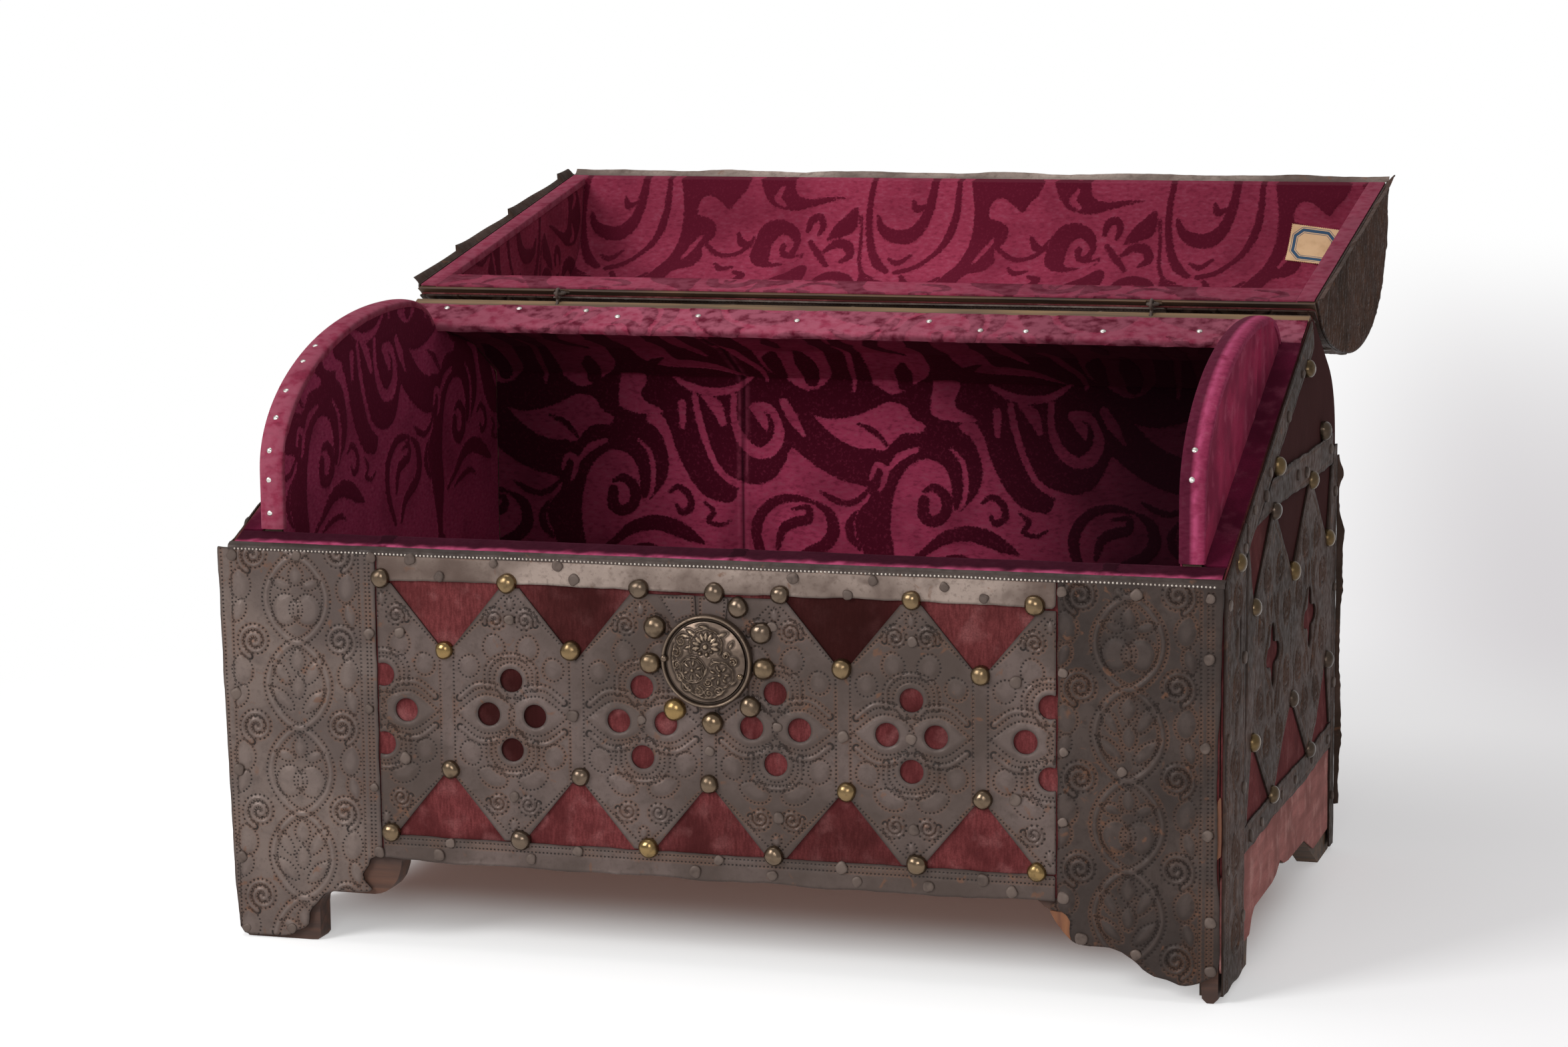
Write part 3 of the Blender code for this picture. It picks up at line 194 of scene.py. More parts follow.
def cutSheet(name, outline, openings, lay, cell, thick, raised, body, material, backStep=9.0, rests=None,
        **told):
    # a sheet cut to an outline with openings: a square grid whose edge cells are clipped where the signed
    # distance is zero, lifted by its relief, with a rim and a flat back; lay puts (a, b, height) in place
    low, high = outline.min(0) - 1.3 * cell, outline.max(0) + 1.3 * cell
    a, b = np.arange(low[0], high[0] + cell, cell), np.arange(low[1], high[1] + cell, cell)
    gridA, gridB = np.meshgrid(a, b, indexing="ij")
    depth = cutDepth(columns(gridA.ravel(), gridB.ravel()), outline, openings).reshape(gridA.shape)
    inside = depth < 0
    kept = np.full(inside.shape, -1)
    kept[inside] = np.arange(inside.sum())
    flat = [columns(gridA[inside], gridB[inside])]
    total = len(flat[0])

    def crossings(first, second, da, db):
        nonlocal total
        hit = (depth[first] < 0) != (depth[second] < 0)
        share = np.clip(depth[first][hit] / (depth[first][hit] - depth[second][hit]), 0.06, 0.94)
        flat.append(columns(gridA[first][hit] + share * da, gridB[first][hit] + share * db))
        index = np.full(hit.shape, -1)
        index[hit] = total + np.arange(hit.sum())
        total += int(hit.sum())
        return index

    every, ahead, behind = slice(None), slice(1, None), slice(None, -1)
    alongA = crossings((behind, every), (ahead, every), cell, 0.0)
    alongB = crossings((every, behind), (every, ahead), 0.0, cell)
    nodes = [kept[:-1, :-1], kept[1:, :-1], kept[1:, 1:], kept[:-1, 1:], alongA[:, :-1], alongB[1:],
        alongA[:, 1:], alongB[:-1]]
    code = sum(inside[s].astype(int) << k for k, s in enumerate(((behind, behind), (ahead, behind),
        (ahead, ahead), (behind, ahead))))
    faces, edges = [], []
    for case in range(1, 16):
        at = code == case
        if not at.any():
            continue
        walk = []
        for k in range(4):
            here, after = case >> k & 1, case >> (k + 1) % 4 & 1
            walk += [k] if here else []
            walk += [4 + k] if here != after else []
        ring = np.stack([nodes[k][at] for k in walk], 1)
        faces.append(ring)
        for k, spot in enumerate(walk):
            if spot > 3 and case >> (spot - 4) & 1:
                edges.append(columns(ring[:, k], ring[:, (k + 1) % len(walk)]))
    flat = np.vstack(flat)
    edges = np.vstack(edges)
    count, firstEdge = len(flat), int(inside.sum())
    rise, marks = raised(flat)
    edgeWay = cutDepth(flat, outline, openings)
    rise = rise * smooth(0.0, 1.6, -edgeWay)
    marks["edge"] = -edgeWay
    # back: the rim's points and a wide grid between them, triangulated and turned to face the other way
    rim = flat[firstEdge:]
    wide = flat[:firstEdge][(np.abs(flat[:firstEdge] / backStep % 1 - 0.5) < 0.501 * cell / backStep).all(1)]
    wide = np.vstack([rim, wide[cutDepth(wide, outline, openings, 3.0) < -2.0]])
    filled = delaunay_2d_cdt([Vector(p) for p in wide.tolist()], (edges - firstEdge).tolist(), [], 1, 1e-4)
    origin = np.array([o[0] for o in filled[3]])
    backs = origin[np.array(filled[2])]
    middle = wide[backs].mean(1)
    backs = backs[cutDepth(middle, outline, openings, 0.5) < 0] + count
    skirt = columns(edges[:, 1], edges[:, 0], edges[:, 0] - firstEdge + count,
        edges[:, 1] - firstEdge + count)
    points = np.vstack([lay(flat[:, 0], flat[:, 1], rise),
        lay(wide[:, 0], wide[:, 1], np.full(len(wide), -thick))])
    faces += [skirt, backs[:, ::-1]]
    probe = np.array([outline.mean(0), outline.mean(0) + (1, 0), outline.mean(0) + (0, 1)])
    spots = lay(probe[:, 0], probe[:, 1], np.zeros(3))
    up = lay(probe[:1, 0], probe[:1, 1], np.ones(1))[0] - spots[0]
    if np.dot(np.cross(spots[1] - spots[0], spots[2] - spots[0]), up) < 0:
        faces = [f[:, ::-1] for f in faces]
    rest = np.zeros(len(wide) - len(rim))
    marks = {k: np.concatenate([v, v[firstEdge:], rest]) for k, v in marks.items()}
    piece = makePiece(name, points, faces, body, material, marks, **told)
    if rests:
        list(np.ptp(outline, axis=0))
        loopArea(outline)
    return piece


def alongLine(line, step):
    # a polyline resampled at about this step, with its unit normals to the left
    run = runAlong(line)
    at = np.linspace(0, run[-1], max(2, int(run[-1] / step) + 1))
    p = np.stack([np.interp(at, run, line[:, k]) for k in range(2)], 1)
    t = np.gradient(p, axis=0)
    t /= np.linalg.norm(t, axis=1)[:, None]
    return at, p, columns(-t[:, 1], t[:, 0])


def ragged(outline, size, seed):
    # outline as cut by hand: resampled every 3 mm and drawn in by up to this size
    after = np.roll(outline, -1, 0)
    turn = np.sign((outline[:, 0] * after[:, 1] - outline[:, 1] * after[:, 0]).sum())
    _, p, n = alongLine(np.vstack([outline, outline[:1]]), 3.0)
    bite = size * np.clip(0.5 + 0.7 * hills(*p.T, 26, seed, 4), 0, 1)
    return (p + turn * n * bite[:, None])[:-1]


def profileCloth(name, line, span, cell, thick, raised, body, material, turn=False, side=1.0, rests=None,
        **told):
    # cloth over a profile: the yz line carried along x, lifted along its normal by its relief, with a back
    # of one strip for each step of the line
    at, p, n = alongLine(line, cell)
    x = np.linspace(span[0], span[1], int((span[1] - span[0]) / cell) + 1)
    gridX, gridS = np.meshgrid(x, at, indexing="ij")
    rise, marks = raised(gridX.ravel(), gridS.ravel())
    rise = rise.reshape(gridX.shape)
    nx, ns = gridX.shape
    front = np.stack([gridX, p[:, 0] + side * n[:, 0] * rise, p[:, 1] + side * n[:, 1] * rise], 2)
    under = p - side * n * thick
    # the back keeps only the outer points of the grid
    ringA = np.concatenate([np.arange(nx), np.full(ns - 2, nx - 1), np.arange(nx)[::-1],
        np.zeros(ns - 2, int)])
    ringB = np.concatenate([np.zeros(nx, int), np.arange(1, ns - 1), np.full(nx, ns - 1),
        np.arange(1, ns - 1)[::-1]])
    back = columns(x[ringA], under[ringB, 0], under[ringB, 1])
    points = np.vstack([front.reshape(-1, 3), back])
    if turn:
        points = laidOpen(points)
    i = np.arange(nx * ns).reshape(nx, ns)
    quads = np.stack([i[:-1, :-1], i[1:, :-1], i[1:, 1:], i[:-1, 1:]], 2).reshape(-1, 4)
    ring, count = i[ringA, ringB], nx * ns
    behind = count + np.arange(len(ring))
    skirt = columns(np.roll(ring, -1), ring, behind, np.roll(behind, -1))
    right, left = count + nx - 1 + np.arange(ns), count + np.concatenate([[0], len(ring) - np.arange(1, ns)])
    strips = columns(left[1:-2], left[2:-1], right[2:-1], right[1:-2])
    first = np.concatenate([[left[1]], [right[1]], (count + np.arange(nx))[::-1]])[None]
    last = np.concatenate([[right[-2]], [left[-2]], (count + nx + ns - 2 + np.arange(nx))[::-1]])[None]
    faces = [quads, skirt, strips, first, last]
    # x across, line upwards: the normal to the left of the line is x cross the line, turned by side
    if side < 0:
        faces = [f[:, ::-1] for f in faces]
    marks = {k: np.concatenate([v, v.reshape(nx, ns)[ringA, ringB]]) for k, v in marks.items()}
    piece = makePiece(name, points, faces, body, material, marks, **told)
    if rests:
        lineLength(line)


def lathedStuds(name, spots, normals, sizes, tones, profile, sectors, rough, body, material, **told):
    # a turned profile (radius, height) set on each spot, a little uneven round, closed at the top and below
    spots, normals = np.asarray(spots, float), np.asarray(normals, float)
    sizes, tones = np.asarray(sizes, float), np.asarray(tones, float)
    profile = np.asarray(profile, float)
    helper = np.where(np.abs(normals[:, 2:]) < 0.8, [[0.0, 0.0, 1.0]], [[1.0, 0.0, 0.0]])
    u = np.cross(helper, normals)
    u /= np.linalg.norm(u, axis=1)[:, None]
    v = np.cross(normals, u)
    turn = np.linspace(0, 2 * math.pi, sectors, endpoint=False)
    draw = np.random.default_rng(len(spots) + sectors)
    wave = draw.uniform(0, 2 * math.pi, (len(spots), 3))
    uneven = 1 + rough * sum(np.sin((k + 2) * turn + wave[:, k:k + 1]) for k in range(3)) / 2
    lean = draw.normal(0, rough * 0.5, (len(spots), 2))
    r = sizes[:, None, None] * profile[None, :, None, 0] * uneven[:, None, :]
    cosine, sine = r * np.cos(turn), r * np.sin(turn)
    tall = sizes[:, None, None] * profile[None, :, None, 1]
    tall = tall + lean[:, 0, None, None] * cosine + lean[:, 1, None, None] * sine
    rings = (spots[:, None, None] + cosine[..., None] * u[:, None, None] + sine[..., None] * v[:, None, None]
        + tall[..., None] * normals[:, None, None])
    top = spots + normals * (sizes * profile[-1, 1])[:, None]
    n, m = len(spots), len(profile) - 1
    rings = rings[:, :m]
    points = np.concatenate([rings.reshape(n, -1, 3), top[:, None]], 1)
    each = m * sectors + 1
    i = np.arange(m * sectors).reshape(m, sectors)
    j = np.roll(i, -1, 1)
    quads = np.stack([i[:-1], j[:-1], j[1:], i[1:]], 2).reshape(-1, 4)
    cap = columns(i[-1], j[-1], np.full(sectors, each - 1))
    offset = np.arange(n)[:, None, None] * each
    faces = [(f[None] + offset).reshape(-1, f.shape[1]) for f in (quads, cap, i[:1, ::-1])]
    marks = {"toneAndHighlight": np.repeat(tones, each)}
    return makePiece(name, points.reshape(-1, 3), faces, body, material, marks, **told)


# ornament

def dotRow(points, deep=0.05):
    # a row of punched dots along a line
    return "dots", np.array(points), 0.0, deep


def turnedTo(points, x, y, degrees):
    # turned about the origin, then moved
    c, s = math.cos(math.radians(degrees)), math.sin(math.radians(degrees))
    return columns(x + points[:, 0] * c - points[:, 1] * s, y + points[:, 0] * s + points[:, 1] * c)


def ringLoop(x, y, rx, ry=None, count=40):
    t = np.linspace(0, 2 * math.pi, count, endpoint=False)
    return columns(x + rx * np.cos(t), y + (ry or rx) * np.sin(t))


def leafLoop(x, y, long, wide, turn, point=0.75, count=36):
    # an oval whose half width falls off faster towards its tip, turned in degrees
    t = np.linspace(0, 2 * math.pi, count, endpoint=False)
    tip = np.maximum(np.cos(t), 0) ** 1.6
    p = columns(long / 2 * np.cos(t), wide / 2 * np.sin(t) * (1 - point * tip))
    return turnedTo(p, x, y, turn)


def spiralLine(x, y, radius, turns, start, hand=1.0, inner=1.0, count=60):
    t = np.linspace(0, 1, count)
    a = math.radians(start) + hand * t * turns * 2 * math.pi
    r = radius + (inner - radius) * t
    return columns(x + r * np.cos(a), y + r * np.sin(a))


def curveThrough(points, step=12):
    # Catmull-Rom curve through the points
    p = np.asarray(points, float)
    p = np.vstack([2 * p[0] - p[1], p, 2 * p[-1] - p[-2]])
    t = np.linspace(0, 1, step, endpoint=False)[:, None]
    out = [0.5 * (2 * b + (c - a) * t + (2 * a - 5 * b + 4 * c - d) * t ** 2
        + (3 * b - a - 3 * c + d) * t ** 3) for a, b, c, d in zip(p[:-3], p[1:-2], p[2:-1], p[3:])]
    return np.vstack(out + [p[-2:-1]])


def moved(strokes, dx, dy, flip=False):
    turn = np.array([-1.0 if flip else 1.0, 1.0])
    return [(kind, line * turn + (dx, dy), half, rise) for kind, line, half, rise in strokes]


def embossed(strokes, lumps=0.12, seed=3, worn=None, deep=1.3):
    # height of the sheet: ridges as half cosines across their lines, leaves as domes inside their outlines,
    # each edged by a row of punched dots given by its distance and its run
    def raised(flat):
        rise = np.zeros(len(flat))
        gap, run = np.full(len(flat), 9.0), np.zeros(len(flat))
        for kind, line, half, high in strokes:
            reach = half + 4.0
            near = np.flatnonzero(((flat > line.min(0) - reach) & (flat < line.max(0) + reach)).all(1))
            if not len(near):
                continue
            spots = flat[near]
            closed = kind == "leaf"
            far, along = distanceTo(spots, np.vstack([line, line[:1]]) if closed else line)
            if closed:
                dome = np.where(within(spots, line), smooth(0.0, half, far), 0.0) * high
                row = far
            elif kind == "ridge":
                dome = high * (0.5 + 0.5 * np.cos(math.pi * np.clip(far / half, 0, 1)))
                row = np.abs(far - half - 0.35)
            else:
                dome, row = -high * np.exp(-(far / 0.6) ** 2), far
            rise[near] = rise[near] + dome if kind == "dots" else np.maximum(rise[near], dome)
            closer = row < gap[near]
            gap[near[closer]] = row[closer]
            run[near[closer]] = along[closer]
        high = rise.copy()
        rise = deep * rise - 0.22 * np.exp(-(gap / 0.55) ** 2)
        rise = rise + lumps * hills(*flat.T, 40.0, seed)
        if worn is not None:
            rise = rise + worn(flat)
        return rise, {"dotGap": gap, "dotRun": run, "rise": high}
    return raised


def stripOrnament():
    # two stems cross and part into a chain of ovals, which hold lilies and tulips in turn; spirals at the
    # necks and half leaves at both edges
    pitch, middle, spread, top = 41.5, 35.0, 15.5, 166.0
    out = []
    z = np.linspace(3, 189, 160)
    wave = np.cos(math.pi * (z - top) / pitch)
    sway = np.sign(wave) * np.abs(wave) ** 0.62
    for hand in (-1, 1):
        out.append(("ridge", columns(middle + hand * spread * sway, z), 1.7, 0.55))
    for k in range(-1, 5):
        c, cz = middle, top - k * pitch
        if k % 2 == 0:
            shapes = [leafLoop(c, cz + 12, 11, 7.5, 90), leafLoop(c - 8, cz + 7.5, 11, 5.6, 160),
                leafLoop(c + 8, cz + 7.5, 11, 5.6, 20), ringLoop(c - 5.6, cz - 5, 7, 7.8),
                ringLoop(c + 5.6, cz - 5, 7, 7.8)]
            out += [("leaf", loop, 3.4, 0.5) for loop in shapes]
            out.append(("leaf", ringLoop(c, cz - 4.6, 3.4, 4.8), 2.6, 0.8))
        else:
            shapes = [(c, cz + 12.5, 12, 8, 90), (c, cz - 0.5, 12, 7.5, 90), (c - 9, cz + 6.5, 15, 6, 122),
                (c + 8.5, cz + 8, 17, 7, 56), (c - 9, cz - 6, 17, 6.5, 138), (c + 8.5, cz - 7, 17, 7, 44)]
            out += [("leaf", leafLoop(*s), 3.2, 0.5) for s in shapes]
        edgeLeaves = [(6.2, cz + 6.5, 15, 11, 95, 0.3), (5.2, cz - 6.5, 12, 7, 250, 0.4),
            (61.0, cz + 6.5, 15, 10.5, 80, 0.3), (62.6, cz - 7.0, 12, 7, 285, 0.4)]
        out += [("leaf", leafLoop(*leaf), half, 0.5) for leaf, half in zip(edgeLeaves, (4.4, 3.2, 4.4, 3.2))]
        neck = cz - pitch / 2
        out.append(("ridge", spiralLine(13.0, neck, 8.2, 2.1, 250, -1.0), 1.1, 0.5))
        out.append(("ridge", spiralLine(57.0, neck + 1.5, 8.2, 2.1, 290, 1.0), 1.1, 0.5))
    for x in (1.8, 67.3, 70.6, 72.6):
        out.append(dotRow([(x, 0.0), (x + 0.4, 95.0), (x, 191.0)]))
    return out


def lozengeOrnament():
    # collars round the four holes, palmettes above and below, spirals at the points, dots at the edges
    out = []
    for hand in (-1, 1):
        out += [
            ("leaf", leafLoop(hand * 13.2, 0, 29, 19, 0 if hand > 0 else 180, 0.8), 3.4, 0.45),
            ("ridge", curveThrough([(hand * 26, 7), (hand * 17, 13.4), (hand * 7, 12.6), (hand * 3, 8.6)]),
                1.2, 0.4),
            ("ridge", curveThrough([(hand * 26, -7), (hand * 17, -13), (hand * 7, -12), (hand * 3, -8.6)]),
                1.2, 0.4),
            ("leaf", leafLoop(hand * 8.4, 32, 12.5, 11, 90 - hand * 12, 0.2), 4.2, 0.42),
            ("leaf", leafLoop(hand * 21, 22.5, 11, 10.5, 90 + hand * 20, 0.2), 4.2, 0.42),
            ("leaf", leafLoop(hand * 10.2, -30, 15.5, 10, 90 - hand * 70, 0.25), 4.2, 0.42),
            ("leaf", leafLoop(hand * 20.8, -19, 12, 11, 270 - hand * 18, 0.2), 4.2, 0.42),
            ("ridge", spiralLine(hand * 7.4, 45, 5.4, 1.8, 90 - hand * 110, hand), 0.9, 0.5),
            ("ridge", spiralLine(hand * 7.6, -42.5, 5.0, 1.8, hand * 100 - 90, -hand), 0.9, 0.5),
            dotRow([(hand * 28.8, -31.0), (hand * 28.8, 31.0)]),
            dotRow([(hand * 27.0, 32.4), (hand * 2.4, 57.0)]),
            dotRow([(hand * 27.0, -32.4), (hand * 2.4, -57.0)])]
    for hand in (-1, 1):
        out += [
            ("leaf", ringLoop(0, hand * 16.5, 8.6), 3.0, 0.45),
            ("ridge", curveThrough([(-11.8, hand * 13), (-11.4, hand * 22), (-5, hand * 27.4),
                (5, hand * 27.4), (11.4, hand * 22), (11.8, hand * 13)]), 1.0, 0.4),
            ("leaf", leafLoop(0, hand * 53, 7, 5, 90 * hand), 2.0, 0.5)]
    return out


# materials

def linear(code):
    # sRGB hex to linear
    c = np.array([int(code[k:k + 2], 16) for k in (1, 3, 5)]) / 255
    return (*np.where(c <= 0.04045, c / 12.92, ((c + 0.055) / 1.055) ** 2.4), 1.0)


def addNode(tree, kind, inputs=None, **settings):
    # one node with its settings; an input is a value or the socket it is linked to
    made = tree.nodes.new("ShaderNode" + kind)
    for key, value in settings.items():
        setattr(made, key, value)
    for key, value in (inputs or {}).items():
        if isinstance(value, bpy.types.NodeSocket):
            tree.links.new(value, made.inputs[key])
        else:
            made.inputs[key].default_value = value
    return made


def newFinish(name, **sockets):
    # a Principled material with its plain values set on the shader
    made = bpy.data.materials.new(name)
    made.use_nodes = True
    tree = made.node_tree
    shader = tree.nodes["Principled BSDF"]
    for key, value in sockets.items():
        shader.inputs[key.replace("_", " ")].default_value = value
    return made, tree, shader


def dressed(tree, shader, base, height, strength, distance):
    # base colour and bump of a finish
    tree.links.new(base, shader.inputs["Base Color"])
    bump = addNode(tree, "Bump", {"Height": height, "Strength": strength, "Distance": distance})
    tree.links.new(bump.outputs[0], shader.inputs["Normal"])


def blended(tree, share, first, second):
    # first colour where the share is 0, second where it is 1
    first = linear(first) if isinstance(first, str) else first
    second = linear(second) if isinstance(second, str) else second
    mix = addNode(tree, "Mix", {"Factor": share, 6: first, 7: second}, data_type="RGBA")
    return mix.outputs[2]


def ranged(tree, value, low, high, bottom=0.0, top=1.0):
    return addNode(tree, "MapRange", {0: value, 1: low, 2: high, 3: bottom, 4: top},
        interpolation_type="SMOOTHSTEP").outputs[0]


def worked(tree, operation, first, second=0.0):
    return addNode(tree, "Math", {0: first, 1: second}, operation=operation).outputs[0]


def grained(tree, place, size, detail=3.0, stretch=(1, 1, 1), distort=0.0):
    # noise whose coarsest lumps are about size millimetres, stretched along the axes
    mapping = addNode(tree, "Mapping", {"Vector": place, "Scale": stretch})
    return addNode(tree, "TexNoise", {"Vector": mapping.outputs[0], "Scale": 1000.0 / size, "Detail": detail,
        "Distortion": distort}).outputs[0]


def marked(tree, name):
    return addNode(tree, "Attribute", attribute_name=name).outputs["Fac"]


ironLook = dict(dotPitch=1.9, dotRadius=0.5, rust="#6b4732", dot="#211713")


def sheetIron(name, pale, dark, worn, rough=0.5, metallic=0.35, glint=0.4):
    # hammered sheet iron under old lacquer: dull grey brown, brighter on the ridges as worn metal and a
    # painted highlight, rusty in the dots
    made, tree, shader = newFinish(name, Metallic=metallic, Specular_IOR_Level=glint)
    place = addNode(tree, "TexCoord").outputs["Object"]
    broad, fine = grained(tree, place, 55, 4), grained(tree, place, 4.0, 5)
    base = blended(tree, ranged(tree, broad, 0.36, 0.66), dark, pale)
    base = blended(tree, ranged(tree, fine, 0.52, 0.78, 0.0, 0.5), base, dark)
    mottled, pits = grained(tree, place, 12, 5, distort=0.8), grained(tree, place, 1.7, 3)
    base = blended(tree, ranged(tree, pits, 0.54, 0.72, 0.0, 0.4), base, dark)
    base = blended(tree, ranged(tree, mottled, 0.5, 0.7, 0.0, 0.45), base, dark)
    # ridges paler: wear on the high places and a painted highlight
    base = blended(tree, ranged(tree, marked(tree, "rise"), 0.15, 0.6, 0.0, 0.3), base, worn)
    spots = grained(tree, place, 7, 6, distort=0.6)
    base = blended(tree, ranged(tree, spots, 0.63, 0.72, 0.0, 0.6), base, ironLook["rust"])
    step = addNode(tree, "Math", {0: marked(tree, "dotRun"), 1: ironLook["dotPitch"] / 2,
        2: -ironLook["dotPitch"] / 2}, operation="WRAP").outputs[0]
    away = worked(tree, "SQRT", worked(tree, "ADD", worked(tree, "POWER", worked(tree, "ABSOLUTE", step),
        2.0), worked(tree, "POWER", marked(tree, "dotGap"), 2.0)))
    dots = ranged(tree, away, ironLook["dotRadius"] * 0.6, ironLook["dotRadius"] * 1.3, 1.0, 0.0)
    stain = ranged(tree, away, 0.5, 1.5, 0.4, 0.0)
    stain = worked(tree, "MULTIPLY", stain, ranged(tree, grained(tree, place, 22, 2), 0.4, 0.6))
    base = blended(tree, stain, base, ironLook["rust"])
    base = blended(tree, dots, base, ironLook["dot"])
    # darker along the cut edges: grime, and painted shade where the sheet's edge throws a thin shadow
    base = blended(tree, ranged(tree, marked(tree, "edge"), 0.0, 1.3, 0.55, 0.0), base, ironLook["dot"])
    tree.links.new(ranged(tree, fine, 0.3, 0.75, rough - 0.1, rough + 0.14), shader.inputs["Roughness"])
    dents = worked(tree, "MULTIPLY", grained(tree, place, 8, 3), 1.1)
    height = worked(tree, "ADD", worked(tree, "MULTIPLY", fine, 0.3), dents)
    height = worked(tree, "ADD", height, worked(tree, "MULTIPLY", pits, 0.7))
    dressed(tree, shader, base, worked(tree, "SUBTRACT", height, dots), 0.5, 0.0004)
    return made


def pileVelvet(name, pale, dark, worn, streak=(1, 1, 0.4), size=4.0, sheen=0.2):
    # cut silk velvet: deep colour with paler rubbed patches and the streaks of the pile's lie
    made, tree, shader = newFinish(name, Roughness=0.92, Sheen_Weight=sheen, Sheen_Roughness=0.45,
        Specular_IOR_Level=0.06, Sheen_Tint=linear(worn))
    place = addNode(tree, "TexCoord").outputs["Object"]
    lie, patches = grained(tree, place, size, 6, streak), grained(tree, place, 34, 3)
    fuzz = grained(tree, place, 0.8, 2)
    base = blended(tree, ranged(tree, lie, 0.25, 0.75, 0.3, 0.85), dark, pale)
    base = blended(tree, ranged(tree, patches, 0.42, 0.64, 0.0, 0.75), base, dark)
    base = blended(tree, ranged(tree, grained(tree, place, 12, 6), 0.5, 0.72, 0.0, 0.5), base, worn)
    base = blended(tree, ranged(tree, fuzz, 0.4, 0.64, 0.0, 0.3), base, dark)
    base = blended(tree, marked(tree, "shade"), base, "#230c0a")
    dressed(tree, shader, base, fuzz, 0.4, 0.0003)
    return made


deepShade = "#100006"


def damaskSilk(name, ground, pile, worn, thread="#a85a70", shade=0.0, tuftPale=0.22, fray=2.6):
    # cut velvet damask: paler ribbed ground, dark pile figures, edges rubbed to pale threads
    made, tree, shader = newFinish(name, Roughness=0.85, Sheen_Weight=0.12, Sheen_Roughness=0.5,
        Specular_IOR_Level=0.06, Sheen_Tint=linear(worn))
    place = addNode(tree, "TexCoord").outputs["Object"]
    figure = marked(tree, "figure")
    fuzz = grained(tree, place, 1.3, 3)
    ragged = worked(tree, "ADD", figure, worked(tree, "MULTIPLY", worked(tree, "SUBTRACT", fuzz, 0.5), fray))
    inside = ranged(tree, ragged, -0.5, 0.5, 1.0, 0.0)
    soft = grained(tree, place, 36, 4)
    # ribs of the ground, drawn coarser than the real 0.5 mm
    rib = grained(tree, place, 1.5, 3, (0.45, 0.5, 1.0))
    cloth = blended(tree, ranged(tree, rib, 0.5, 0.72, 0.0, 0.35), ground, thread)
    cloth = blended(tree, ranged(tree, rib, 0.5, 0.28, 0.0, 0.4), cloth, pile)
    cloth = blended(tree, ranged(tree, soft, 0.42, 0.72, 0.0, 0.45), cloth, pile)
    tuft = blended(tree, ranged(tree, fuzz, 0.5, 0.8, 0.0, tuftPale), pile, ground)
    base = blended(tree, inside, cloth, tuft)
    rubbed = worked(tree, "MULTIPLY", marked(tree, "worn"),
        ranged(tree, grained(tree, place, 6, 6), 0.3, 0.62))
    base = blended(tree, rubbed, base, worn)
    # painted shade: darker towards the right and in the left corner, where less light reaches
    across = addNode(tree, "SeparateXYZ", {0: place}).outputs[0]  # metres from the middle
    base = blended(tree, ranged(tree, across, -0.02, 0.15, 0.0, shade), base, deepShade)
    base = blended(tree, ranged(tree, across, -0.21, -0.06, 0.8 * shade, 0.0), base, deepShade)
    base = blended(tree, marked(tree, "shade"), base, deepShade)
    dressed(tree, shader, base, worked(tree, "ADD", inside, worked(tree, "MULTIPLY", fuzz, 0.5)), 0.5, 0.0005)
    return made


def agedWood(name, pale, dark, along):
    # old softwood: fine grain along one axis, darkened by age and handling
    made, tree, shader = newFinish(name, Roughness=0.75)
    place = addNode(tree, "TexCoord").outputs["Object"]
    stretch = [1.0, 1.0, 1.0]
    stretch[along] = 0.06
    grain = grained(tree, place, 5.0, 6, stretch, 0.4)
    base = blended(tree, ranged(tree, grain, 0.32, 0.7), dark, pale)
    base = blended(tree, ranged(tree, grained(tree, place, 30, 5), 0.5, 0.75, 0.0, 0.6), base, dark)
    dressed(tree, shader, base, grain, 0.6, 0.0006)
    return made


def castMetal(name, pale, dark, toneAndHighlightColour, metallic, rough):
    # polished by handling on the high places, with a painted highlight there on the boss, brown in the rest;
    # tone runs from one metal to the other; painted shade in the recesses
    made, tree, shader = newFinish(name, Metallic=metallic)
    place = addNode(tree, "TexCoord").outputs["Object"]
    fine = grained(tree, place, 5, 5)
    base = blended(tree, marked(tree, "toneAndHighlight"), pale, toneAndHighlightColour)
    base = blended(tree, ranged(tree, fine, 0.5, 0.75, 0.0, 0.55), base, dark)
    # painted shade: darker in the recesses
    base = blended(tree, marked(tree, "recessShade"), base, dark)
    tree.links.new(ranged(tree, fine, 0.3, 0.75, rough, rough + 0.25), shader.inputs["Roughness"])
    dressed(tree, shader, base, fine, 0.25, 0.0004)
    return made


frontIron = sheetIron("sheet_iron_front", "#6e5f58", "#524540", "#7d6e68")
plateIron = sheetIron("sheet_iron_plate", "#63544f", "#473a34", "#72635e")
# a darker copy of the front iron: painted shade on the right strip, where the key light falls off; the top
# lip uses it too
shadedIron = sheetIron("sheet_iron_right_shaded", "#453934", "#302622", "#564944", 0.55, 0.3, 0.3)
bandIron = sheetIron("sheet_iron_band", "#9a897f", "#57463e", "#b3a49a")
endIron = sheetIron("sheet_iron_end", "#503b33", "#35261e", "#624e45", 0.62, 0.1, 0.16)
plainIron = castMetal("wrought_iron", "#54463f", "#332924", "#66574f", 0.35, 0.5)
domeBrass = castMetal("cast_brass", "#8f754a", "#33291f", "#67584b", 0.92, 0.15)
endBrass = castMetal("dull_brass", "#6b5738", "#2a2018", "#4a3f38", 0.88, 0.18)
bossBronze = castMetal("gilt_bronze", "#66574c", "#2a201a", "#927f6c", 0.8, 0.26)
tackSteel = castMetal("tinned_steel", "#c9c4bd", "#8a847d", "#dedad4", 0.95, 0.18)
outerVelvet = pileVelvet("silk_velvet", "#7b3d3e", "#451b1c", "#915a5a", (1, 1, 0.22), 1.0)
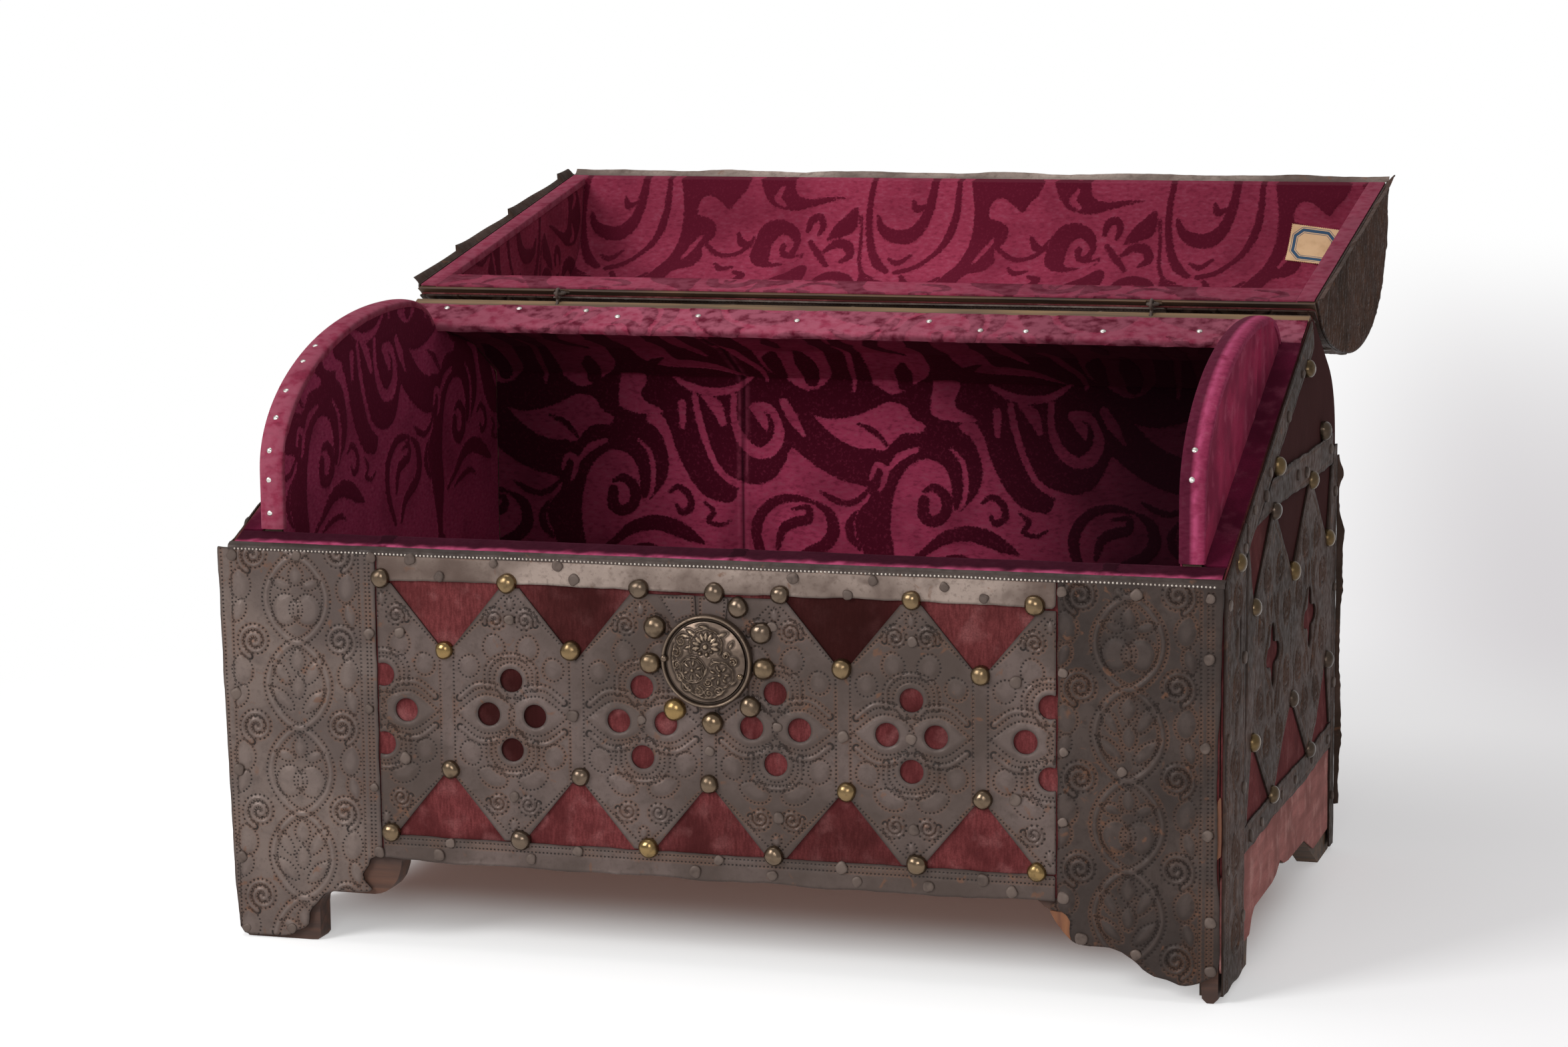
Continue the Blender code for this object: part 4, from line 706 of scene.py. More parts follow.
endFabric = pileVelvet("faded_velvet", "#c27c77", "#744541", "#d6a29b", (1, 0.1, 1), sheen=0.35)
backDamask = damaskSilk("cut_velvet_back", "#aa3d5d", "#480b1e", "#b0506a", shade=0.94)
lidDamask = damaskSilk("cut_velvet_lid", "#98364f", "#5e1429", "#ae6073", shade=0.3)
tongueDamask = damaskSilk("cut_velvet_tongue", "#943454", "#541226", "#b04c70", fray=3.6)
tongueVelvet = pileVelvet("crimson_velvet", "#ac2e54", "#5e0f2b", "#b25670", (1, 0.6, 0.16), 14.0, 0.3)
# painted shade: a darker velvet for the ledges, which face up towards the lamps
ledgeShadedVelvet = pileVelvet("shaded_velvet", "#6a1a38", "#420b20", "#7d3a4e", (1, 0.5, 0.14), 9.0, 0.2)
# pale as rubbed iron and as a painted glint on the beads along the top fold
foldIron = castMetal("rubbed_glinting_iron", "#b3a79d", "#7f736a", "#c9beb4", 0.5, 0.35)
darkWood = agedWood("old_pine", "#6b4d35", "#38281d", 0)
seamWood = agedWood("bare_pine", "#8a6c4c", "#544031", 0)
bareWood = agedWood("fresh_pine", "#94603c", "#5c3524", 2)
footWood = agedWood("stained_pine", "#59392a", "#38241c", 0)


def printedPaper(name, paper, ink, stain):
    # old cream paper with a printed double border
    made, tree, shader = newFinish(name, Roughness=0.8)
    place = addNode(tree, "TexCoord").outputs["Object"]
    base = blended(tree, ranged(tree, grained(tree, place, 9, 4), 0.45, 0.7), paper, stain)
    away = marked(tree, "ink")
    rule = worked(tree, "MAXIMUM", ranged(tree, away, 0.75, 0.95, 1.0, 0.0),
        worked(tree, "MULTIPLY", ranged(tree, away, 1.3, 1.45), ranged(tree, away, 1.6, 1.75, 1.0, 0.0)))
    base = blended(tree, rule, base, ink)
    tree.links.new(base, shader.inputs["Base Color"])
    return made


labelPaper = printedPaper("printed_paper", "#d9b48a", "#2a4a66", "#c29a72")
print("materials ready")

# front

front = dict(plateCell=0.6, bandCell=0.9, cloth=1.15)


def onFront(a, b, high):
    return columns(a, -high, b)


def onBack(a, b, high):
    return columns(a, coffer["deep"] + high, b)


def onSide(hand, start=0.0, way=-1.0, lid=False):
    # a plane across x at start, its height running outwards, or inwards with way 1; hand -1 mirrors it
    def lay(a, b, high):
        x = start + way * high
        placed = columns(x if hand > 0 else coffer["wide"] - x, a, b)
        return laidOpen(placed) if lid else placed
    return lay


def under(lay, depth):
    # the same face, this much lower
    return lambda a, b, high: lay(a, b, high - depth)


def ironSheet(name, outline, openings, lay, cell, raised, body, material, node):
    cutSheet(name, outline, openings, lay, cell, ironThick, raised, body, material, replaced=(node,),
        finish="iron")


sides = (("Left", 1), ("Right", -1))
# its free edge stands out past the corner towards the top
leftStrip = np.array([(-5.2, 190.1), (-4.6, 160), (-4.2, 130), (-3.2, 100), (-2.2, 60), (-1.2, 30), (0.4, 12),
    (1.6, 3), (4, 1.2), (12, 1), (22, 1.2), (27, 2), (31, 4.5), (35, 6), (37.5, 9), (37, 13), (38.5, 16),
    (42, 19), (45, 23), (50, 24.6), (58, 25.2), (66, 25.6), (70.5, 26.4), (70, 28.5), (66.8, 30.5),
    (65.6, 33.5), (66, 36), (68.8, 38), (69.5, 41.5), (71.5, 43.2), (75.9, 43.5), (75.7, 120), (75.9, 190.1)])
rightStrip = np.array([(404.1, 190.1), (404.3, 120), (404.1, 43), (400.5, 41.5), (401, 38.5), (408, 38),
    (410, 34), (409.5, 30), (410.5, 25.5), (412, 24), (420, 23.2), (428, 23), (434, 21), (440, 17.5),
    (444, 13.5), (449, 11), (456, 9.5), (462, 7.5), (468, 9), (471.5, 10.5), (475, 12), (478, 14), (479, 30),
    (477.6, 60), (477, 100), (477.3, 115), (478.5, 140), (479.5, 190.1)])
stripStrokes = stripOrnament()
freeEdge = dotRow([(-3.4, 189.0), (-1.6, 100.0), (1.0, 20.0)])
ironSheet("frontStripLeft", ragged(leftStrip, 0.5, 15), [], onFront, front["plateCell"],
    embossed(stripStrokes + [freeEdge]), "carcass", frontIron, "front_corner_strip_left")
ironSheet("frontStripRight", ragged(rightStrip, 0.6, 16), [], onFront, front["plateCell"],
    embossed(moved(stripStrokes, 402.0, -3.5), seed=5), "carcass", shadedIron, "front_corner_strip_right")

plate = dict(left=76.3, right=403.7, low=55.3, high=175.8, pitch=64.5, point=33.0, margin=4.0, holeRadius=5.6,
    holeSide=11.5, holeRise=16.5)


def triangleLoops(low, high, count=5):
    # triangles of cloth between the lozenges' points, at the top and at the bottom
    out = []
    point, half = plate["point"], plate["pitch"] / 2 - plate["margin"]
    for k in range(count):
        centre = coffer["wide"] / 2 + (k - (count - 1) / 2) * plate["pitch"]
        out.append(np.array([(centre - half, high + 1), (centre, high - point), (centre + half, high + 1)]))
        out.append(np.array([(centre - half, low - 1), (centre + half, low - 1), (centre, low + point)]))
    return out


def plateHoles(centre, middle):
    spots = [(-plate["holeSide"], 0), (plate["holeSide"], 0), (0, plate["holeRise"]), (0, -plate["holeRise"])]
    return [ringLoop(centre + x, middle + z, plate["holeRadius"], None, 28) for x, z in spots]


sheetOutline = np.array([(plate["left"], plate["low"]), (plate["right"], plate["low"]),
    (plate["right"], plate["high"]), (plate["left"], plate["high"])])
# the boss covers the middle triangle at the top
openings = [loop for k, loop in enumerate(triangleLoops(plate["low"], plate["high"])) if k != 4]
middleRow = (plate["low"] + plate["high"]) / 2
plateCentres = [coffer["wide"] / 2 + (k - 2.5) * plate["pitch"] for k in range(6)]
sheetStrokes = []
for centre in plateCentres:
    sheetStrokes += moved(lozengeOrnament(), centre, middleRow)
    openings += plateHoles(centre, middleRow)
ironSheet("frontLozenges", sheetOutline, openings, onFront, front["plateCell"],
    embossed(sheetStrokes, 0.2, 8), "carcass", plateIron, "front_lozenge_sheet")

topBand = np.array([(76.3, 190.1), (403.7, 190.1), (403.7, 176.6), (330, 177.4), (240, 176.8), (150, 177.6),
    (76.3, 176.8)])
ironSheet("frontTopBand", ragged(topBand, 0.6, 17), [], onFront, front["bandCell"],
    embossed([dotRow([(76, 189.3), (404, 189.3)], 0.1)], 0.5, 11), "carcass", bandIron, "front_top_band")
lowBand = np.array([(76.3, 55), (403.7, 55), (403.7, 42.6), (384, 42.9), (352, 41.4), (330, 42.2),
    (296, 41.6), (268, 42.6), (240, 41.8), (205, 42.7), (170, 41.9), (150, 42.6), (112, 42.0), (76.3, 43.2)])
ironSheet("frontBottomBand", ragged(lowBand, 0.5, 18), [], onFront, front["bandCell"],
    embossed([dotRow([(76, z), (404, z)]) for z in (50.4, 53)], 0.45, 13), "carcass", plateIron,
    "front_bottom_band")
print("front iron ready")


def flatCloth(name, outline, lay, cell, lumps, material, replaced, rests, seed=1, shade=None):
    # velvet glued to a board of the carcass, a little uneven
    def raised(flat):
        return lumps * hills(*flat.T, 30, seed), {"shade": shade(flat)} if shade else {}
    cutSheet(name, outline, [], under(lay, front["cloth"]), cell, 0.8, raised, "carcass", material,
        replaced=replaced, rests=rests, finish="velvet")


def rawBoard(name, outline, lay, cell, thick, lumps, across, material, **told):
    # raw wood with a little relief, finer across by this factor
    cutSheet(name, outline, [], lay, cell, thick, lambda flat: (lumps * hills(flat[:, 0] * across, flat[:, 1],
        9, 3), {}), "carcass", material, finish="wood", **told)


quarter = np.linspace(0, math.pi / 2, 6)
footEdge = np.vstack([columns(49 - 12 * np.cos(quarter), 24.5 * np.sin(quarter))[3:],
    columns(71 + 14 * np.sin(quarter), 24.5 + 18.5 * (1 - np.cos(quarter)))])
boardLeft, boardRight = boardSpan
velvetFront = np.array([(boardLeft, 44.5), (240, 43.6), (boardRight, 44.5), (boardRight, 190.6),
    (boardLeft, 190.6)])
board = np.vstack([[(boardLeft, 0.0)], footEdge[:1] * (1, 0), footEdge,
    [(395.0, 43.0), (399.0, 38.5), (406.5, 37.0), (408.5, 30.0), (409.5, 26.0), (420, 23.8), (434, 22),
    (444, 14.5), (456, 10.4), (463, 9.0), (469.6, 10.8), (470.4, 0.0), (boardRight, 0.0), (boardRight, 190.3),
    (boardLeft, 190.3)]])
rawBoard("frontBoard", board, under(onFront, boardIn), 3.0, 12.0, 0.06, 1, footWood,
    replaced=("front_board",))
# places where the velvet is painted darker: x, z, half width, half height, share
darkerVelvetSpots = [(302, 165, 34, 40, 0.9), (176, 165, 26, 26, 0.7), (142, 116, 26, 34, 0.85),
    (240, 61, 28, 18, 0.3), (304, 60, 28, 18, 0.45), (369, 161, 26, 26, 0.15)]


def velvetDarkening(flat):
    return sum(share * np.exp(-((flat[:, 0] - x) / wide) ** 4 - ((flat[:, 1] - z) / high) ** 4)
        for x, z, wide, high, share in darkerVelvetSpots)


flatCloth("frontVelvet", velvetFront, onFront, 2.5, 0.05, outerVelvet, ("front_velvet",), ["frontBoard"],
    shade=velvetDarkening)
footChip = np.array([(400.6, 38.4), (410.6, 37.9), (410.9, 25.0), (407.4, 28.4), (403.4, 33.6)])
rawBoard("footChip", footChip, under(onFront, 0.9), 0.6, 1.3, 0.12, 4, bareWood)
cornerChip = np.array([(476.4, 66), (478.7, 68), (478.9, 80), (478.6, 96), (477.2, 93), (476.2, 84)])
rawBoard("cornerChip", cornerChip, under(onFront, 0.6), 0.7, 1.2, 0.1, 4, bareWood)
print("front cloth ready")

# profiles of the vault and the back, as in the CAD

def offsetLine(line, distance):
    # polyline moved to its left, with mitred corners
    p = np.asarray(line, float)
    d = np.diff(p, axis=0)
    d /= np.linalg.norm(d, axis=1)[:, None]
    n = columns(-d[:, 1], d[:, 0])
    before, after = np.vstack([n[:1], n]), np.vstack([n, n[-1:]])
    return p + distance * (before + after) / (1.0 + (before * after).sum(1))[:, None]


def seamPoint(forward, above=0.0):
    c, s = math.cos(seamAngle), math.sin(seamAngle)
    return (coffer["hingeDeep"] - forward * c - above * s, coffer["hingeHigh"] - forward * s + above * c)


def overSeam(line, above):
    # the stretch of a line above the seam by more than this, ended on that height
    p = np.asarray(line, float)
    c, s = math.cos(seamAngle), math.sin(seamAngle)
    h = (p[:, 1] - coffer["hingeHigh"]) * c - (p[:, 0] - coffer["hingeDeep"]) * s - above
    keep = np.flatnonzero(h > 1e-6)
    a, b = keep[0], keep[-1]
    first = p[a] + (p[a - 1] - p[a]) * h[a] / (h[a] - h[a - 1])
    last = p[b] + (p[b + 1] - p[b]) * h[b] / (h[b] - h[b + 1])
    return np.vstack([first, p[a:b + 1], last])


vault = dict(front=14.7, spring=225.0, crownDeep=160.0, crownHigh=290.7, end=30.5, roundness=3.0, steps=30)
rise = vault["crownHigh"] - vault["spring"]
endY, endZ = seamPoint(vault["end"])
fall = 1 - ((endZ - vault["spring"]) / rise) ** vault["roundness"]
reach = (endY - vault["crownDeep"]) / fall ** (1 / vault["roundness"])
turnA = np.linspace(0, math.pi / 2, vault["steps"])
turnB = np.linspace(math.pi / 2, math.radians(20), vault["steps"])[1:]
power = 2 / vault["roundness"]
tongueArch = np.vstack([[(vault["front"], coffer["front"] - 12)],
    columns(vault["crownDeep"] - (vault["crownDeep"] - vault["front"]) * np.cos(turnA),
    vault["spring"] + rise * np.sin(turnA)), columns(vault["crownDeep"] + reach * np.cos(turnB) ** power,
    vault["spring"] + rise * np.sin(turnB) ** power)])
bend = np.linspace(0, 1, 10)[:, None]


def rounded(start, corner, end):
    # quadratic bend between two straight runs
    start, corner, end = (np.array(p, float) for p in (start, corner, end))
    return (1 - bend) ** 2 * start + 2 * bend * (1 - bend) * corner + bend ** 2 * end


lidFront = offsetLine(tongueArch, 2.9 + 1.3 + 6.0)[:vault["steps"] + 1]
lidSlope = math.radians(16)
lidCorner = np.array([hingeEdge[0] - (lidFront[-1, 1] - hingeEdge[1]) / math.tan(lidSlope), lidFront[-1, 1]])
slopeWay = np.array([math.cos(lidSlope), -math.sin(lidSlope)])
lidOutside = np.vstack([lidFront, rounded(lidCorner - (20, 0), lidCorner, lidCorner + 20 * slopeWay),
    [hingeEdge, hingeEdge + 20 * slopeWay]])
lidCover = overSeam(lidOutside, 0.4)
lidCover = np.vstack([lidCover[lidCover[:, 0] < 230], [hingeEdge - 6 * slopeWay]])
backSlope = math.radians(30)
backCorner = np.array([boardBack, hingeEdge[1] - (boardBack - hingeEdge[0]) * math.tan(backSlope)])
backWay = np.array([-math.cos(backSlope), math.sin(backSlope)])
backOutside = np.vstack([rounded(backCorner - (0, 28), backCorner, backCorner + 28 * backWay),
    [hingeEdge - 6 * backWay]])
railFront, railHinge = np.array(seamPoint(27, -1.7)), np.array(seamPoint(6, -1.7))
innerBack = np.array([railFront, (264.8, 261.8), (297.6, 243.2), (297.6, 55.3)])

# the damask's figure

damask = dict(repeat=174.0, rise=0.35, wallFold=(62.0, 248.0), lidFold=(177.0, 261.0))
# pile and ground are painted in turn: a fill is an outline, a line has a half width at each of its points
wallFigure = [
    ("ground", [(160, 60), (160, 124), (170, 127), (180, 132), (187, 141), (191, 150), (197, 146), (207, 139),
        (220, 133), (233, 130), (234, 124), (228, 117), (226, 108), (229, 100), (231, 92), (232, 60)], None),
    ("ground", [(284, 166), (292, 166), (297, 158), (300, 148), (304, 139), (310, 129), (318, 121.5),
        (330, 119), (336, 119), (336, 60), (250, 60), (248, 92), (246, 105), (246, 118), (249, 131),
        (255, 141), (264, 146), (273, 144), (278, 137), (279.5, 128), (280, 121), (284, 119), (289, 124),
        (294, 130), (296, 140), (294, 150), (290, 158), (284, 162)], None),
    ("pile", [(264, 124), (264, 116), (270, 113), (276, 118), (276, 126), (270, 131), (264, 129)],
        (3, 3.4, 3, 3, 3, 2.4, 1)),
    ("pile", [(296, 124), (301, 127), (307, 123), (308, 116), (303, 113), (300, 117)],
        (1, 1.6, 2, 2, 1.8, 1)),
    ("pile", [(252, 88), (264, 96), (275, 104), (288, 107), (298, 105), (307, 101), (315, 97)],
        (1, 2, 3.4, 4.2, 4.6, 3.6, 1)),
    ("pile", [(316, 119), (321, 114), (318, 109), (325, 107), (331, 110)], (0.8, 1.6, 1.4, 1.2, 0.6)),
    ("pile", [(181, 80), (174, 92), (171, 104), (174, 114), (182, 121), (193, 123), (204, 121)],
        (1.5, 2.6, 3, 3, 2.6, 2, 0.8)),
    ("pile", [(204, 121), (212, 115), (214, 105), (209, 98), (201, 94), (193, 89), (188, 80)],
        (1, 3, 3.6, 3.4, 3, 2.4, 1.5)),
    ("pile", [(183, 96), (186, 106), (193, 110), (200, 112), (200, 118), (191, 117)],
        (1.4, 2.6, 3, 2.6, 1.6, 0.8)),
    ("pile", [(207, 127), (214, 123), (222, 121), (229, 124), (235, 130)], (0.8, 1.8, 1.6, 1.6, 1)),
    ("pile", [(227, 117), (223, 110), (224, 103), (229, 97)], (0.8, 2.2, 2.4, 1.2)),
    ("pile", [(262, 88), (272, 92), (284, 94), (292, 91)], (0.6, 1.6, 1.8, 0.8)),
    ("ground", [(235, 135), (238, 142), (243, 140), (242, 133), (240, 129)], (1, 1.6, 1.8, 1.5, 0.8)),
    ("ground", [(260, 151), (251, 147), (244, 139)], (1.4, 2.2, 0.8)),
    ("ground", [(279, 152), (285, 145), (287, 135), (286, 125), (283, 119)], (0.8, 1.4, 1.5, 1.3, 0.8)),
    ("ground", [(333, 177), (333, 165), (337, 154), (345, 147), (354, 148), (359, 156), (357, 165),
        (351, 172)], (1.6, 2, 2.8, 3.2, 2.8, 2.2, 1.8, 1)),
    ("ground", [(311, 176), (314, 162), (319, 147), (325, 136), (334, 130), (346, 128), (356, 132)],
        (1.6, 2, 1.8, 1.8, 2, 1.8, 0.8)),
    ("ground", [(304, 172), (304, 160)], (2.4, 1.6)),
    ("ground", [(316, 177), (323, 171), (327, 162)], (1.4, 3.6, 1.8)),
    ("ground", [(343, 171), (349, 165), (351, 160)], (1.2, 3, 1.2)),
    ("ground", [(300, 186), (310, 181), (322, 179), (334, 181), (344, 188)], (1, 2.2, 2.2, 2, 1)),
    ("ground", [(203, 168), (213, 166), (226, 168), (236, 172), (245, 176), (254, 174), (258, 168),
        (265, 164), (262, 160), (252, 159), (245, 152), (241, 150), (236, 151), (228, 151), (218, 155),
        (210, 161)], None),
    ("pile", [(228, 164), (237, 160), (244, 153)], (0.8, 1.8, 1)),
    ("ground", [(270, 190), (268, 176), (270, 169), (284, 166), (293, 167), (290, 170), (283, 173),
        (281, 178), (284, 184), (282, 190)], None),
    ("ground", [(171, 171), (178, 171), (183, 165), (183, 156), (178, 149), (170, 147)],
        (3, 2.4, 2, 2, 2.6, 1.4)),
    ("ground", [(187, 174), (192, 166), (198, 157)], (2.4, 3, 1)),
    ("ground", [(164, 235), (171, 215), (177, 200), (178, 186)], (3, 2.4, 2, 1)),
    ("ground", [(180, 250), (180, 205), (186, 190), (200, 181), (212, 187), (217, 205), (216, 250)], None),
    ("pile", [(187, 190), (187, 212), (190, 222)], (3.4, 5.5, 2)),
    ("pile", [(203, 187), (205, 208), (204, 226)], (4, 6.5, 2)),
    ("pile", [(196, 250), (197, 236)], (5, 2)),
    ("ground", [(226, 182), (228, 200), (231, 222), (229, 244)], (1, 1.6, 1.8, 1)),
    ("ground", [(236, 186), (238, 205), (242, 250), (268, 250), (272, 215), (270, 200), (262, 188),
        (248, 180)], None),
    ("pile", [(254, 186), (256, 200), (258, 211)], (4, 5, 1.5)),
    ("pile", [(250, 250), (255, 232), (262, 222)], (4, 4, 1)),
    ("ground", [(284, 250), (287, 215), (292, 205), (300, 200), (312, 199), (325, 197), (335, 192),
        (342, 188), (338, 194), (328, 204), (315, 209), (306, 213), (302, 250)], None),
    ("ground", [(318, 250), (320, 228), (326, 215)], (5, 4, 1)),
    ("pile", [(288, 196), (294, 206), (300, 211)], (2, 3, 1)),
]
lidFigure = [
    ("ground", [(60, 120), (340, 120), (340, 320), (60, 320)], None),
    ("pile", [(119, 230), (125, 236), (135, 237), (143, 232), (145, 224), (143, 216), (148, 217), (146, 212),
        (138, 209), (128, 206), (120, 208), (116, 214), (117, 222)], None),
    ("ground", [(131, 213), (130.5, 221), (134.5, 226.5), (139, 223), (138, 219)], (3.4, 2.4, 2.2, 2.2, 1.4)),
    ("ground", [(131, 213), (139, 211), (146, 214)], (2.4, 2, 0.8)),
    ("pile", [(118, 264), (122, 252), (128, 245), (140, 242.5), (151, 245), (160, 247.5), (172, 250.5),
        (160, 250.5), (148, 249.5), (141, 253), (138, 264)], None),
    ("ground", [(133, 256), (130, 250), (134, 246)], (1, 2.2, 1.2)),
    ("pile", [(149, 231), (151, 237), (156, 239), (158, 234), (156, 229)], (1.4, 2.2, 2.2, 2, 1.2)),
    ("pile", [(160, 225), (164, 233), (170, 239), (178, 245), (178, 233), (171, 228)], None),
    ("pile", [(151, 224), (157, 216), (163, 208)], (1.6, 2.2, 1.4)),
    ("pile", [(160, 218.5), (166, 223), (173, 222.5), (175.5, 216), (171, 211.5)], (1.2, 2.6, 3, 2.6, 1.4)),
    ("pile", [(180.5, 240), (181, 226), (182, 212), (186, 202), (193, 198)], (0.8, 1, 1.1, 1.3, 1)),
    ("pile", [(188, 264), (185.5, 246), (185.5, 232), (188, 220), (193, 210), (199, 204.5)],
        (1.6, 1.8, 2, 2.4, 3, 2)),
    ("pile", [(190.5, 240), (193, 233), (199, 229), (207, 228), (214, 232), (219, 240), (222, 250),
        (224, 264)], (1, 2.6, 4, 4.4, 3.8, 3, 2.6, 2)),
    ("pile", [(211, 249), (213, 244.5), (218, 246)], (1, 2.4, 1)),
    ("pile", [(205, 203.5), (214, 207), (222, 214), (229, 222), (234, 232), (237, 244), (238, 264)],
        (2, 1.8, 1.4, 1.8, 2.4, 2, 1.4)),
    ("pile", [(199, 214), (205, 211), (212, 217)], (0.8, 2.2, 0.8)),
    ("pile", [(244, 264), (247, 245), (246, 228), (241, 213), (235, 204), (230, 195), (224, 184), (221, 174),
        (240, 174), (244, 190), (249, 203), (256, 206), (261, 213), (260, 221), (266, 226), (267, 234),
        (262, 238), (256, 240), (257, 248), (263, 251), (270, 247), (275, 243), (279, 248), (285, 255),
        (284, 264)], None),
    ("ground", [(249, 212), (254, 220), (259, 227)], (0.8, 1.6, 1)),
    ("ground", [(243, 182), (244, 195), (249, 202), (254, 197), (255, 184)], (1, 1.6, 2, 2, 1.4)),
    ("pile", [(281, 229), (284, 223), (290, 222)], (1, 2.6, 1)),
    ("pile", [(270, 208.5), (274, 204.5), (281, 206)], (1, 2.2, 1)),
    ("pile", [(262, 222), (270, 215.5), (279, 215), (287, 220), (291, 227)], (1.4, 1.6, 1.4, 1.4, 0.8)),
    ("pile", [(272, 190), (284, 193), (288, 199), (283, 202)], (1, 2.4, 2.6, 1.4)),
    ("pile", [(121, 174), (124, 188), (131, 196), (140, 202), (147, 208), (152, 206), (151, 192), (150, 174)],
        None),
    ("pile", [(158.5, 174), (159, 190), (163, 198), (170, 200), (177, 197), (181, 189), (182, 174)],
        (2.6, 3, 3.6, 4, 3.6, 3, 2.4)),
    ("pile", [(166, 188), (168.5, 193.5), (171, 188)], (0.8, 1.8, 1)),
    ("pile", [(184, 204), (189, 198), (198, 196), (203, 191), (201, 185), (192, 188), (185, 186)], None),
    ("pile", [(209, 200), (213, 193), (219, 191.5), (226, 194), (231, 200)], (1.4, 2.4, 2.2, 2, 1)),
    ("pile", [(206, 184), (214, 186), (221, 181)], (1, 2.4, 1)),
]


def figured(table, dx=0.0, dy=0.0, worn=None, soft=0.25, fold="wallFold"):
    # signed distance to the pile, repeated across the cloth, with a little rise of the pile over the ground
    shapes = []
    for kind, points, halves in table:
        line = np.array(points, float)
        if halves is None:
            line = curveThrough(np.vstack([line, line[:1]]), 4)[:-1]
            shapes.append((kind, line, None))
        else:
            fine = curveThrough(line, 6)
            shapes.append((kind, fine, np.interp(np.linspace(0, 1, len(fine)), np.linspace(0, 1, len(halves)),
                halves)))
    repeat = damask["repeat"]
    base, top = damask[fold]

    def field(a, b):
        # the figure is mirrored at its top and its foot
        up = np.mod(np.ravel(b) - dy - base, 2 * (top - base))
        spots = columns(np.ravel(a) - dx, base + np.minimum(up, 2 * (top - base) - up))
        depth = np.full(len(spots), -3.0)
        for kind, line, halves in shapes:
            low, high = line.min(0) - 5.0, line.max(0) + 5.0
            firstRepeat = math.floor((spots[:, 0].min() - high[0]) / repeat)
            lastRepeat = int((spots[:, 0].max() - low[0]) / repeat)
            for k in range(firstRepeat, lastRepeat + 1):
                near = np.flatnonzero(((spots > low + (k * repeat, 0)) & (spots < high
                    + (k * repeat, 0))).all(1))
                if not len(near):
                    continue
                here = spots[near] - (k * repeat, 0)
                if halves is None:
                    own = edgeDepth(here, line)
                else:
                    far, along = distanceTo(here, line)
                    run = runAlong(line)
                    own = far - np.interp(along, run, halves)
                depth[near] = np.minimum(depth[near], own) if kind == "pile" else np.maximum(depth[near],
                    -own)
        figure = np.clip(depth, -3, 3)
        lift = damask["rise"] * smooth(-1.0, 1.0, -figure) + soft * hills(np.ravel(a), np.ravel(b), 60, 2)
        rubbed = worn(np.ravel(a), np.ravel(b)) if worn else np.zeros(len(spots))
        return lift, {"figure": figure, "worn": rubbed}
    return field


def figuredFlat(table, dx=0.0, dy=0.0, **told):
    field = figured(table, dx, dy, **told)
    return lambda flat: field(*flat.T)


# lining of the carcass

lining = dict(cell=1.25, thick=0.9, cover=0.6, span=(23.6, 456.4))

# read from the floor up, so that the figure's heights are those of the wall
wallLine = offsetLine(innerBack, -1.3)[::-1]
wallField = figured(wallFigure)


def wallRaised(a, b):
    # two widths of cloth meet in a sewn seam: a dark line between rubbed edges
    rise, marks = wallField(a, b)
    away = np.abs(a - 164.0 - 0.5 * np.sin(b / 23))
    return rise - 0.3 * np.exp(-(away / 1.0) ** 2), {**marks,
        "worn": 0.45 * np.exp(-((away - 2.2) / 0.9) ** 2), "shade": 0.8 * np.exp(-(away / 0.8) ** 2)}


profileCloth("backLining", wallLine, lining["span"], lining["cell"], lining["thick"], wallRaised, "carcass",
    backDamask, replaced=("lining_back",), finish="lining", rests=["back_board", "rear_slope_board"])


def railWorn(a, b):
    return 0.7 + 0.3 * smooth(60.0, 0.0, np.abs(a - 462))


railLine = np.vstack([railFront + (1.0, -3.5), railFront + (-1.0, -1.2), railFront + (-1.0, 0.2),
    railFront + (0.6, 0.9), railHinge + (0, 0.8)])
profileCloth("railCover", railLine, boardSpan, lining["cell"], lining["cover"],
    figured(wallFigure, 30, -120, railWorn), "carcass", lidDamask, finish="lining", rests=["hinge_rail"])

frontSteps = ((2.6, 0.3), (6.4, 0.45), (13.6, 0.5), (15.2, 1.6), (15.7, 4.0))
frontTop = np.array([(y, seamHeight(y) - below) for y, below in frontSteps])


def fringe(a, b):
    # length from the front edge, uneven like a torn fringe
    return b + 1.2 * hills(a, b, 12, 95)


rimField = figured(wallFigure, 12, -60, lambda a, b: smooth(5.0, 2.0, fringe(a, b)))


def rimRaised(a, b):
    # rubbed fringe at the front, in shade behind it
    rise, marks = rimField(a, b)
    return rise, {**marks, "shade": 0.9 * smooth(1.5, 5.0, fringe(a, b))}


profileCloth("frontEdgeCover", frontTop, boardSpan, 1.0, lining["cover"], rimRaised, "carcass", tongueDamask,
    finish="lining", rests=["frontBoard"])
profileCloth("frontLining", np.array([(15.7, 192.5), (15.7, 56.4)]), lining["span"], 2.2, lining["thick"],
    figured(wallFigure), "carcass", backDamask, replaced=("lining_front",), finish="lining",
    rests=["frontBoard"])
profileCloth("floorLining", np.array([(296.2, 56.3), (16.2, 56.3)]), lining["span"], 2.4, lining["thick"],
    figured(wallFigure, 40, 20), "carcass", backDamask, side=-1.0, replaced=("lining_floor",),
    finish="lining", rests=["bottom_board"])
print("carcass lining ready")


